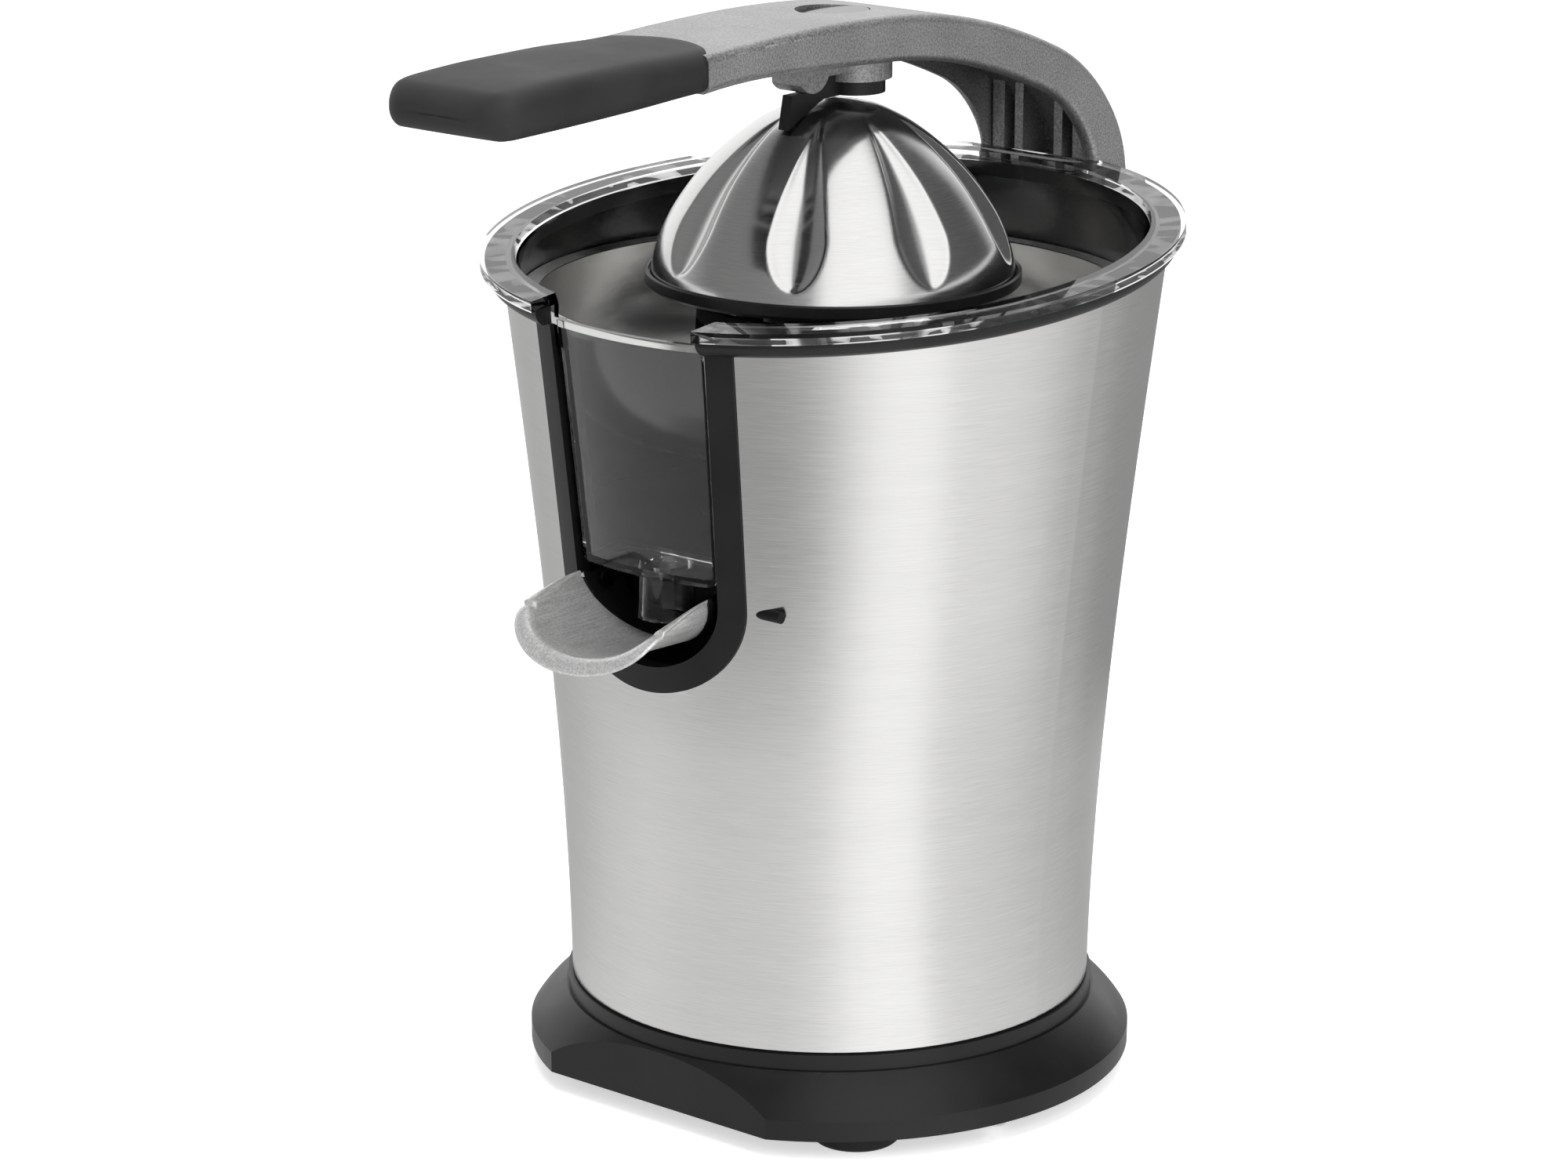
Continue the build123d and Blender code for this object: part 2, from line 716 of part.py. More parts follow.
with BuildPart() as juice_bowl:
    with BuildSketch(Plane.XZ):
        with BuildLine():
            step_r = shell_radius(bowl_step_low_z) - bowl_out_inset
            Polyline((0, drawing_top_z), (0, bowl_floor_inner_z), (floor_r, bowl_floor_outer_z))
            ThreePointArc(
                (floor_r, bowl_floor_outer_z),
                (shell_radius(mid_z) - bowl_out_inset, mid_z),
                (step_r, bowl_step_low_z),
            )
            Polyline(
                (step_r, bowl_step_low_z),
                (bowl_rim_wall_r, bowl_step_high_z),
                (bowl_rim_wall_r, drawing_top_z),
                (0, drawing_top_z),
            )
        make_face()
    revolve(axis=Axis.Z)
    split(bisect_by=rim_plane.offset(bezel_height + flange_thick), keep=Keep.BOTTOM)
    # flange that lies on the bezel
    with BuildSketch(rim_plane.offset(bezel_height)):
        Circle(flange_r)
    extrude(amount=flange_thick)
    add(bowl_bore.part, mode=Mode.SUBTRACT)
    with BuildSketch(rim_plane.offset(bezel_height - 3.0)):
        Circle(bowl_rim_inner_r - 0.9)
    with BuildSketch(rim_plane.offset(bezel_height + flange_thick + 0.02)):
        Circle(flange_inner_r)
    loft(mode=Mode.SUBTRACT)
    # gap of the flange over the slot, flat of the flange in front of the lever
    with BuildSketch(Plane.XY.offset(panel_top_z)):
        with Locations((0, -bezel_outer_r)):
            Rectangle(2 * rim_gap_half_w, 60)
    extrude(amount=40, mode=Mode.SUBTRACT)
    with BuildSketch(Plane.XY.offset(bowl_step_high_z + 4)):
        with Locations((0, lever_notch_y + 20)):
            Rectangle(2 * lever_notch_half_w, 40)
    extrude(amount=40, mode=Mode.SUBTRACT)
    # front panel, open to the bowl behind it
    add(panel_bore.part, mode=Mode.SUBTRACT)
    add(panel_box.part)
    # central tube around the drive shaft
    with BuildSketch(Plane.XY.offset(bowl_floor_inner_z - 1)):
        Circle(bowl_tube_r)
    extrude(amount=bowl_tube_top_z - bowl_floor_inner_z + 1)
    with BuildSketch(Plane.XY.offset(bowl_floor_inner_z - 3)):
        Circle(bowl_tube_bore_r)
    extrude(amount=60, mode=Mode.SUBTRACT)
    # outlet nozzle
    with BuildSketch(Plane.XY.offset(nozzle_bottom_z)):
        with Locations((0, nozzle_y)):
            Circle(nozzle_r)
    extrude(amount=panel_bottom_z + 1.0 - nozzle_bottom_z)
    with BuildSketch(Plane.XY.offset(nozzle_bottom_z)):
        with Locations((0, nozzle_y)):
            Circle(nozzle_bore_r)
    extrude(amount=panel_bottom_z + 4.0 - nozzle_bottom_z, mode=Mode.SUBTRACT)
juice_bowl.part.label = "juice_bowl"
export_step(juice_bowl.part, "parts/juice_bowl.step")

# ================================================================ sieve
with BuildPart() as sieve:
    with BuildSketch(Plane.XZ):
        with BuildLine():
            skin_line = Spline((78.8, sieve_rim_z), (76.6, 200), (69.4, 187), (55.5, sieve_floor_z + 0.9))
            Line(skin_line @ 1, (38.2, sieve_floor_z))
            Line((38.2, sieve_floor_z), (38.2, sieve_rim_z))
            Line((38.2, sieve_rim_z), skin_line @ 0)
        make_face()
        with BuildLine():
            inner_line = Spline(
                (sieve_mouth_r, sieve_rim_z + 0.5),
                (75.8, 200.2),
                (68.9, 187.7),
                (55.3, sieve_floor_z + 0.9 + sieve_wall),
            )
            Line(inner_line @ 1, (38, sieve_floor_z + sieve_wall))
            Line((38, sieve_floor_z + sieve_wall), (38, sieve_rim_z + 0.5))
            Line((38, sieve_rim_z + 0.5), inner_line @ 0)
        make_face(mode=Mode.SUBTRACT)
        # rolled rim
        with BuildLine():
            Polyline(
                (sieve_mouth_r, sieve_rim_z),
                (sieve_rim_r, sieve_rim_z),
                (sieve_rim_r, sieve_rim_z - 1.4),
                (sieve_rim_r - 0.8, sieve_rim_z - 1.4),
                (sieve_rim_r - 0.8, sieve_rim_z - 0.8),
                (sieve_mouth_r, sieve_rim_z - 0.8),
                close=True,
            )
        make_face()
    revolve(axis=Axis.Z)
    # straining slots in the floor and in the lower wall
    with BuildSketch(Plane.XY.offset(sieve_floor_z - 2)):
        with PolarLocations(46.5, 36):
            SlotOverall(11, 1.5)
        with PolarLocations(61.5, 48):
            SlotOverall(9, 1.4)
    extrude(amount=12, mode=Mode.SUBTRACT)
sieve.part.label = "sieve"
export_step(sieve.part, "parts/sieve.step")

with BuildPart() as sieve_turret:
    with BuildSketch(Plane.XZ):
        with BuildLine():
            Polyline(
                (turret_bore_r, sieve_floor_z - 2.0),
                (turret_foot_r, sieve_floor_z - 2.0),
                (turret_foot_r, sieve_floor_z - 0.2),
                (turret_r + 0.4, sieve_floor_z - 0.2),
                (turret_r + 0.4, sieve_floor_z + 3.2),
                (turret_r - 1.6, turret_top_z),
                (turret_r - 3.8, turret_top_z),
                (turret_r - 2.2, sieve_floor_z + 3.2),
                (turret_bore_r + 1.5, sieve_floor_z + 1.2),
                (turret_bore_r + 1.5, turret_tube_top_z),
                (turret_bore_r, turret_tube_top_z),
                close=True,
            )
        make_face()
    revolve(axis=Axis.Z)
    with Locations((0, 0, sieve_floor_z + 17.2)):
        with PolarLocations(turret_r - 1.5, 8, start_angle=10):
            Box(9, 19.6, 24, mode=Mode.SUBTRACT)
sieve_turret.part.label = "sieve_turret"
export_step(sieve_turret.part, "parts/sieve_turret.step")

# ================================================================ cone
dome_points = (
    (cone_base_r, cone_foot_z),
    (47.6, 223.0),
    (46.1, 228.0),
    (43.4, 234.0),
    (39.7, 240.0),
    (35.1, 246.0),
    (30.2, 251.0),
    (24.8, 255.6),
    (18.4, 259.9),
    (10.2, 263.5),
    (0.0, cone_top_z),
)


def dome_line():
    """Meridian of the cone, from its foot to its top."""
    return Spline(*dome_points, tangents=((0, 1), (-1, 0)))


with BuildLine(Plane.XZ, mode=Mode.PRIVATE) as dome_guide:
    guide = dome_line()

# One flute: circles that follow the meridian, wide low down, narrow at the top.
flute_sections = (
    (0.09, 6.0, -1.2),
    (0.16, 9.6, 1.6),
    (0.26, 11.0, 3.0),
    (0.42, 8.8, 2.7),
    (0.56, 6.0, 2.0),
    (0.68, 3.6, 1.1),
    (0.78, 1.6, -0.2),
)
with BuildPart() as flute:
    for place, radius, depth in flute_sections:
        spot = guide @ place
        along = guide % place
        outward = Vector(along.Z, 0, -along.X)
        with BuildSketch(Plane(origin=spot + outward * (radius - depth), x_dir=(0, 1, 0), z_dir=along)):
            Circle(radius)
    loft()

with BuildPart() as cone:
    with BuildSketch(Plane.XZ):
        with BuildLine():
            outer = dome_line()
            Line(outer @ 1, (0, cone_foot_z))
            Line((0, cone_foot_z), outer @ 0)
        make_face()
        with BuildLine():
            inner = Spline(
                *[(0.9 * r, cone_foot_z - 0.01 + 0.9 * (z - cone_foot_z)) for r, z in dome_points],
                tangents=((0, 1), (-1, 0)),
            )
            Line(inner @ 1, (0, cone_foot_z - 0.01))
            Line((0, cone_foot_z - 0.01), inner @ 0)
        make_face(mode=Mode.SUBTRACT)
    revolve(axis=Axis.Z)
    with PolarLocations(0, flute_count, start_angle=flute_first_angle - 90):
        add(flute.part, mode=Mode.SUBTRACT)
cone.part.label = "cone"
export_step(cone.part, "parts/cone.step")

with BuildPart() as cone_collar:
    with BuildSketch(Plane.XZ):
        with BuildLine():
            Polyline(
                (0, collar_disc_low_z),
                (collar_disc_r - 1.0, collar_disc_low_z),
                (collar_disc_r, collar_disc_low_z + 0.9),
                (collar_disc_r, cone_foot_z + 0.8),
                (collar_disc_r - 0.5, cone_foot_z + 1.2),
                (collar_disc_r - 1.0, cone_foot_z + 0.9),
                (collar_disc_r - 1.1, cone_foot_z - 0.1),
                (0.9 * cone_base_r - 1.4, cone_foot_z - 0.1),
                (0.9 * cone_base_r - 1.4, cone_foot_z + 3.0),
                (0.9 * cone_base_r - 3.4, cone_foot_z + 3.0),
                (0.9 * cone_base_r - 3.4, cone_foot_z - 0.1),
                (cone_core_r, cone_foot_z - 0.1),
                (cone_core_r, cone_foot_z + 6.0),
                (0, cone_foot_z + 6.0),
                close=True,
            )
        make_face()
    revolve(axis=Axis.Z)
    # skirt over the bowl tube, core on the shaft
    with BuildSketch(Plane.XY.offset(190)):
        Circle(cone_skirt_r)
        Circle(cone_skirt_r - 1.8, mode=Mode.SUBTRACT)
    extrude(amount=collar_disc_low_z - 190)
    with BuildSketch(Plane.XY.offset(189)):
        Circle(cone_core_r)
    extrude(amount=collar_disc_low_z - 189)
    with BuildSketch(Plane.XY.offset(188.9)):
        RegularPolygon(hex_flats / 2 + 0.05, 6, major_radius=False)
    extrude(amount=20.5, mode=Mode.SUBTRACT)
cone_collar.part.label = "cone_collar"
export_step(cone_collar.part, "parts/cone_collar.step")

# ================================================================ spout


def trough_face(half_w, depth, top_z):
    """Outline of a half ellipse with its flat side up."""
    EllipticalCenterArc((0, top_z), half_w, depth, start_angle=180, arc_size=180)
    Line((half_w, top_z), (-half_w, top_z))


with BuildPart() as spout:
    with BuildSketch(Plane.XZ.offset(-spout_back_y)):
        with BuildLine():
            trough_face(21.3, 16.8, 149.6)
        make_face()
    with BuildSketch(Plane.XZ.offset(-spout_nose_y + 4)):
        with BuildLine():
            trough_face(22.3, 14.4, 149.6)
        make_face()
    loft()
    with BuildSketch(Plane.XZ.offset(-spout_back_y - 1)):
        with BuildLine():
            trough_face(21.3 - spout_wall, 16.8 - spout_wall, 149.6)
        make_face()
    with BuildSketch(Plane.XZ.offset(-spout_nose_y + 5)):
        with BuildLine():
            trough_face(22.3 - spout_wall, 14.4 - spout_wall, 149.6)
        make_face()
    loft(mode=Mode.SUBTRACT)
    # rounded nose in plan
    with BuildSketch(Plane.XY.offset(120)):
        Rectangle(46, 190)
        with BuildLine():
            EllipticalCenterArc((0, -96), 22.3, -96 - spout_nose_y, start_angle=180, arc_size=180)
            Polyline((22.3, -96), (22.3, -40), (-22.3, -40), (-22.3, -96))
        make_face(mode=Mode.SUBTRACT)
    extrude(amount=50, mode=Mode.SUBTRACT)
    # upper edge falls towards the nose, and is lower inside the pocket
    with BuildSketch(Plane.YZ.offset(-40)):
        with BuildLine():
            Polyline((-76, 149.8), (-97, 147.2), (-116, 146.0), (-116, 160), (-76, 160), close=True)
        make_face()
        with BuildLine():
            Polyline((-76, 149.8), (-75, 148.6), (-50, 148.6), (-50, 160), (-76, 160), close=True)
        make_face()
    extrude(amount=80, mode=Mode.SUBTRACT)
    with BuildSketch(Plane.YZ.offset(-40)):
        with Locations((spout_pivot_y, spout_pivot_z)):
            Circle(1.55)
    extrude(amount=80, mode=Mode.SUBTRACT)
spout.part.label = "spout"
export_step(spout.part, "parts/spout.step")

with BuildPart() as spout_back_wall:
    with BuildSketch(Plane.XZ.offset(-spout_back_y - 2.2)):
        with BuildLine():
            trough_face(21.2, 16.7, 149.6)
        make_face()
        with Locations((0, nozzle_bottom_z - 1.0 + 10)):
            Rectangle(60, 20, mode=Mode.SUBTRACT)
    extrude(amount=2.1)
spout_back_wall.part.label = "spout_back_wall"
export_step(spout_back_wall.part, "parts/spout_back_wall.step")

with BuildPart() as spout_pivot_pins:
    for side in (-1, 1):
        with BuildSketch(Plane.YZ.offset(side * 17.9)):
            with Locations((spout_pivot_y, spout_pivot_z)):
                Circle(1.45)
        extrude(amount=side * 8.9)
        with BuildSketch(Plane.YZ.offset(side * 17.9)):
            with Locations((spout_pivot_y, spout_pivot_z)):
                Circle(2.6)
        extrude(amount=side * 0.9)
spout_pivot_pins.part.label = "spout_pivot_pins"
export_step(spout_pivot_pins.part, "parts/spout_pivot_pins.step")

# ================================================================ lever
foot_back_y = pivot_y + foot_round_r
foot_front_y = pivot_y - foot_round_r
upper_knots = (
    (99.4, 250.2),
    (73.6, 271.2),
    (36.2, 283.4),
    (2.6, 288.4),
    (-30.0, 289.3),
    (-74.3, 287.9),
)
clear_back_y = foot_back_y + 24.0
clear_front_y = upper_knots[-1][0] - 15.7
clear_high_z = upper_knots[-2][1] + 10.7
lower_knots = (
    (86.4, 244.4),
    (68.2, 259.7),
    (36.5, 270.5),
    (2.7, 276.2),
    (-45.3, 278.8),
    (-74.3, 278.0),
)


def tangent_chain(start, first, knots):
    """A straight start, then arcs that run on tangentially through the knots."""
    pieces = [Line(start, first)]
    for knot in knots:
        pieces.append(TangentArc(pieces[-1] @ 1, knot, tangent=pieces[-1] % 1))
    return pieces


def lever_profile():
    """Side view of the lever, with its foot round the pivot."""
    high = tangent_chain((foot_back_y, pivot_z), (foot_back_y, 229.0), upper_knots)
    low = tangent_chain((foot_front_y, pivot_z), (foot_front_y, 232.0), lower_knots)
    Line(high[-1] @ 1, low[-1] @ 1)
    ThreePointArc((foot_front_y, pivot_z), (pivot_y, pivot_z - foot_round_r), (foot_back_y, pivot_z))


with BuildLine(mode=Mode.PRIVATE) as upper_guide:
    upper_pieces = tangent_chain((foot_back_y, pivot_z), (foot_back_y, 229.0), upper_knots)
upper_middles = [piece @ 0.5 for piece in upper_pieces[1:]]
roof_knots = []
for piece in upper_pieces[1:]:
    along = piece % 1
    roof_knots.append((piece @ 1) + Vector(-along.Y, along.X) * skin)
roof_knots[-1] = Vector(-70.0, roof_knots[-1].Y + 0.1)

with BuildPart() as lever_solid:
    with BuildSketch(Plane.YZ.offset(-lever_half_w)):
        with BuildLine():
            lever_profile()
        make_face()
    extrude(amount=2 * lever_half_w)
    top_edges = [
        edge
        for edge in lever_solid.edges().filter_by(GeomType.CIRCLE)
        if any(abs((edge @ 0.5).Y - m.X) + abs((edge @ 0.5).Z - m.Y) < 0.5 for m in upper_middles)
    ]
    fillet(top_edges, 2.2)

with BuildPart() as lever_room:
    with BuildSketch(Plane.YZ.offset(-lever_half_w + cheek)):
        with BuildLine():
            roof = tangent_chain(
                (foot_back_y - skin, pivot_z + 5), (foot_back_y - skin, 229.0), roof_knots
            )
            Polyline(
                (foot_back_y - skin, pivot_z + 5),
                (120, pivot_z + 5),
                (120, 200),
                (60, 200),
                (-60, 240),
                (-70, 262),
                roof[-1] @ 1,
            )
        make_face()
    extrude(amount=2 * (lever_half_w - cheek))

with BuildPart() as lever_ribs:
    for middle, width in ((-13.7, 4.0), (-6.7, 2.8), (6.7, 2.8), (13.7, 4.0)):
        with BuildSketch(Plane.YZ.offset(middle - width / 2)):
            with BuildLine():
                lever_profile()
            make_face()
            with BuildLine():
                Polyline((90.4, 230), (110, 230), (110, 268), (90.4, 268), close=True)
            make_face(mode=Mode.INTERSECT)
        extrude(amount=width)

with BuildPart() as lever_boss:
    with BuildSketch(Plane.XY.offset(boss_low_z)):
        with Locations((0, boss_y)):
            Circle(boss_r)
    extrude(amount=16)
    # short nose in front of the boss
    with BuildSketch(Plane.YZ.offset(-5)):
        with BuildLine():
            Polyline((boss_y, 272.4), (boss_y, 282), (-19.5, 282), (-19.5, 271.2))
            ThreePointArc((-19.5, 271.2), (-14.4, 268.6), (-8.4, 272.4))
            Line((-8.4, 272.4), (boss_y, 272.4))
        make_face()
    extrude(amount=10)

with BuildPart() as lever_tongue:
    with BuildSketch(Plane.YZ.offset(-13)):
        with BuildLine():
            Polyline((-60, 280.8), (-60, 285.2), (-136, 284.8), (-136, 280.4), close=True)
        make_face()
    extrude(amount=26)

with BuildPart() as leaf_cutter:
    with BuildSketch(Plane.XY.offset(286.9)):
        with BuildLine():
            ThreePointArc((0, -14), (8.5, 1.5), (2.5, 11.0))
            ThreePointArc((2.5, 11.0), (0, 12.2), (-2.5, 11.0))
            ThreePointArc((-2.5, 11.0), (-8.5, 1.5), (0, -14))
        make_face()
    extrude(amount=6)

with BuildPart() as lever_arm:
    add(lever_solid.part)
    add(lever_room.part, mode=Mode.SUBTRACT)
    add(lever_ribs.part)
    add(lever_boss.part)
    # cut the boss and nose back to the skin
    with BuildSketch(Plane.YZ.offset(-15)):
        with BuildLine():
            top = tangent_chain((foot_back_y, pivot_z), (foot_back_y, 229.0), upper_knots)
            Polyline((foot_back_y, pivot_z), (clear_back_y, pivot_z), (clear_back_y, clear_high_z))
            Polyline((clear_back_y, clear_high_z), (clear_front_y, clear_high_z))
            Polyline((clear_front_y, clear_high_z), (clear_front_y, upper_knots[-1][1]), top[-1] @ 1)
        make_face()
    extrude(amount=30, mode=Mode.SUBTRACT)
    add(lever_tongue.part)
    add(leaf_cutter.part, mode=Mode.SUBTRACT)
    with BuildSketch(Plane.YZ.offset(-lever_half_w - 1)):
        with Locations((pivot_y, pivot_z)):
            Circle(pivot_r + 1.6)
    extrude(amount=2 * lever_half_w + 2, mode=Mode.SUBTRACT)
    with BuildSketch(Plane.XY.offset(boss_low_z)):
        with Locations((0, boss_y)):
            Circle(2.0)
    extrude(amount=12, mode=Mode.SUBTRACT)
lever_arm.part.label = "lever_arm"
export_step(lever_arm.part, "parts/lever_arm.step")

with BuildPart() as lever_badge:
    with BuildSketch(Plane.XY.offset(287.0)):
        with BuildLine():
            ThreePointArc((0, -13.6), (8.2, 1.5), (2.4, 10.7))
            ThreePointArc((2.4, 10.7), (0, 11.9), (-2.4, 10.7))
            ThreePointArc((-2.4, 10.7), (-8.2, 1.5), (0, -13.6))
        make_face()
    extrude(amount=0.7)
lever_badge.part.label = "lever_badge"
export_step(lever_badge.part, "parts/lever_badge.step")

with BuildPart() as grip_room:
    with BuildSketch(Plane.YZ.offset(-13.1)):
        with BuildLine():
            Polyline((-60, 280.7), (-60, 285.3), (-136.2, 284.9), (-136.2, 280.3), close=True)
        make_face()
    extrude(amount=26.2)

with BuildPart() as lever_grip:
    with BuildSketch(Plane.XY.offset(270)):
        with BuildLine():
            for side in (-1, 1):
                Polyline(
                    (side * (grip_half_w - 0.2), grip_tip_y),
                    (side * grip_half_w, -105),
                    (side * lever_half_w, grip_back_y),
                    (side * lever_half_w, -60),
                )
            Line((lever_half_w, -60), (-lever_half_w, -60))
            Line((grip_half_w - 0.2, grip_tip_y), (-grip_half_w + 0.2, grip_tip_y))
        make_face()
    extrude(amount=30)
    fillet(lever_grip.edges().filter_by(Axis.Z).group_by(Axis.Y)[0], grip_corner_r)
    with BuildSketch(Plane.YZ.offset(-30)):
        with BuildLine():
            ThreePointArc((-60, 288.8), (-105, 289.4), (-146, 287.6))
            ThreePointArc((-146, 287.6), (-149.8, 285.6), (-151, 282.0))
            ThreePointArc((-151, 282.0), (-149.8, 278.4), (-146.4, 276.4))
            ThreePointArc((-146.4, 276.4), (-105, 277.2), (-60, 278.4))
            Line((-60, 278.4), (-60, 288.8))
        make_face()
    extrude(amount=60, mode=Mode.INTERSECT)
    # rear edge of the grip: a shallow arch over the lever's skin
    with BuildSketch(Plane.XY.offset(260)):
        with BuildLine():
            ThreePointArc((-22, grip_back_y + 0.1), (0, grip_back_y + 10), (22, grip_back_y + 0.1))
            Polyline((22, grip_back_y + 0.1), (22, -40), (-22, -40), (-22, grip_back_y + 0.1))
        make_face()
    extrude(amount=40, mode=Mode.SUBTRACT)
    add(lever_arm.part, mode=Mode.SUBTRACT)
    add(grip_room.part, mode=Mode.SUBTRACT)
lever_grip.part.label = "lever_grip"
export_step(lever_grip.part, "parts/lever_grip.step")

# presser: black hub under the boss with a fin towards the front
with BuildPart() as dome_clearance:
    with BuildSketch(Plane.XZ):
        with BuildLine():
            lifted = Spline(
                *[(r * 1.012, z + 0.6) for r, z in dome_points], tangents=((0, 1), (-1, 0))
            )
            Polyline(lifted @ 1, (0, 200), (60, 200), (60, cone_foot_z + 0.6), lifted @ 0)
        make_face()
    revolve(axis=Axis.Z)

with BuildPart() as presser:
    with BuildSketch(Plane.XY.offset(presser_low_z)):
        with Locations((0, boss_y)):
            Circle(presser_hub_r)
    extrude(amount=boss_low_z - presser_low_z)
    with BuildSketch(Plane.YZ.offset(-1.6)):
        with BuildLine():
            Polyline((boss_y, boss_low_z), (-5.5, 271.9), (-10.8, 269.2), (-14.2, 268.2), (-19.2, 268.2))
            Polyline((-19.2, 268.2), (-21.0, 259.4), (-6.0, presser_low_z), (boss_y, presser_low_z))
            Line((boss_y, presser_low_z), (boss_y, boss_low_z))
        make_face()
    extrude(amount=3.2)
    add(dome_clearance.part, mode=Mode.SUBTRACT)
    add(lever_arm.part, mode=Mode.SUBTRACT)
    with BuildSketch(Plane.XY.offset(250)):
        with Locations((0, boss_y)):
            Circle(2.1)
    extrude(amount=30, mode=Mode.SUBTRACT)
    with BuildSketch(Plane.XY.offset(250)):
        with Locations((0, boss_y)):
            Circle(3.8)
    extrude(amount=18.0, mode=Mode.SUBTRACT)
presser.part.label = "presser"
export_step(presser.part, "parts/presser.step")

with BuildPart() as presser_screw:
    with BuildSketch(Plane.XY.offset(266.9)):
        with Locations((0, boss_y)):
            Circle(3.4)
    extrude(amount=1.1)
    with BuildSketch(Plane.XY.offset(267.5)):
        with Locations((0, boss_y)):
            Circle(1.9)
    extrude(amount=12.5)
presser_screw.part.label = "presser_screw"
export_step(presser_screw.part, "parts/presser_screw.step")

# ================================================================ lever hinge
lug_in_x = 20.9
lug_out_x = 25.6
housing_top_z = 230.5
housing_low_z = 176.0
housing_back_y = 109.5

with BuildPart() as shell_envelope:
    with BuildSketch(Plane.XZ):
        with BuildLine():
            edge = shell_line(-0.15)
            Polyline(edge @ 0, (0, shell_foot_z), (0, shell_curve_top_z), edge @ 1)
        make_face()
    revolve(axis=Axis.Z)
    with BuildSketch(rim_plane.offset(-0.3)):
        Circle(bezel_outer_r + 1.2)
    extrude(amount=30)

with BuildPart() as hinge_housing:
    with BuildSketch(Plane.YZ.offset(-lug_out_x)):
        with BuildLine():
            Polyline(
                (70, housing_low_z),
                (92, housing_low_z),
                (98, 184),
                (housing_back_y - 4, 200),
                (housing_back_y, 208),
                (housing_back_y, 222),
                (106, housing_top_z),
                (70, housing_top_z),
                close=True,
            )
        make_face()
    extrude(amount=2 * lug_out_x)
    fillet(hinge_housing.edges().filter_by(Axis.X).sort_by(Axis.Y)[-5:], 2.5)
    fillet(hinge_housing.faces().filter_by(Axis.X).edges().sort_by(Axis.Y)[-6:], 1.5)
    add(shell_envelope.part, mode=Mode.SUBTRACT)
    # pocket for the foot of the lever, open at the back
    with BuildSketch(Plane.XY.offset(208.5)):
        with Locations((0, 105)):
            Rectangle(2 * lug_in_x, 60)
    extrude(amount=30, mode=Mode.SUBTRACT)
    with BuildSketch(Plane.YZ.offset(-40)):
        with Locations((pivot_y, pivot_z)):
            Circle(pivot_r + 0.03)
    extrude(amount=80, mode=Mode.SUBTRACT)
    with BuildSketch(Plane.XZ.offset(-60)):
        with Locations(*hinge_screw_spots):
            Circle(hinge_screw_r + 0.35)
    extrude(amount=-80, mode=Mode.SUBTRACT)
    with BuildSketch(Plane.XZ.offset(-89.5)):
        with Locations(*hinge_screw_spots):
            Circle(4.0)
    extrude(amount=-50, mode=Mode.SUBTRACT)
hinge_housing.part.label = "hinge_housing"
export_step(hinge_housing.part, "parts/hinge_housing.step")

with BuildPart() as hinge_screws:
    with BuildSketch(Plane.XZ.offset(-80.6)):
        with Locations(*hinge_screw_spots):
            Circle(hinge_screw_r)
    extrude(amount=-9.5)
    with BuildSketch(Plane.XZ.offset(-89.6)):
        with Locations(*hinge_screw_spots):
            Circle(3.6)
    extrude(amount=-2.2)
    with BuildSketch(Plane.XZ.offset(-90.8)):
        with Locations(*hinge_screw_spots):
            Rectangle(4.2, 0.8)
            Rectangle(0.8, 4.2)
    extrude(amount=-2, mode=Mode.SUBTRACT)
hinge_screws.part.label = "hinge_screws"
export_step(hinge_screws.part, "parts/hinge_screws.step")

with BuildPart() as hinge_pin:
    with BuildSketch(Plane.YZ.offset(-lug_out_x - 0.2)):
        with Locations((pivot_y, pivot_z)):
            Circle(pivot_r)
    extrude(amount=2 * lug_out_x + 0.4)
    for side in (-1, 1):
        with BuildSketch(Plane.YZ.offset(side * (lug_out_x + 0.1))):
            with Locations((pivot_y, pivot_z)):
                Circle(pivot_r + 1.6)
        extrude(amount=side * 1.2)
hinge_pin.part.label = "hinge_pin"
export_step(hinge_pin.part, "parts/hinge_pin.step")

with BuildPart() as hinge_bushes:
    for side in (-1, 1):
        with BuildSketch(Plane.YZ.offset(side * (lever_half_w - cheek))):
            with Locations((pivot_y, pivot_z)):
                Circle(pivot_r + 1.58)
                Circle(pivot_r + running_gap, mode=Mode.SUBTRACT)
        extrude(amount=side * cheek)
        with BuildSketch(Plane.YZ.offset(side * (lever_half_w + 0.05))):
            with Locations((pivot_y, pivot_z)):
                Circle(pivot_r + 3.2)
                Circle(pivot_r + running_gap, mode=Mode.SUBTRACT)
        extrude(amount=side * 0.5)
        with BuildSketch(Plane.YZ.offset(side * lever_half_w)):
            with Locations((pivot_y, pivot_z)):
                Circle(pivot_r + 1.58)
                Circle(pivot_r + running_gap, mode=Mode.SUBTRACT)
        extrude(amount=side * 0.1)
hinge_bushes.part.label = "hinge_bushes"
export_step(hinge_bushes.part, "parts/hinge_bushes.step")

# ================================================================ gearbox
bolt_reach = motor_bolt_pitch / 2
motor_bolts = tuple(
    (motor_x + sx * bolt_reach, motor_y + sy * bolt_reach) for sx in (-1, 1) for sy in (-1, 1)
)

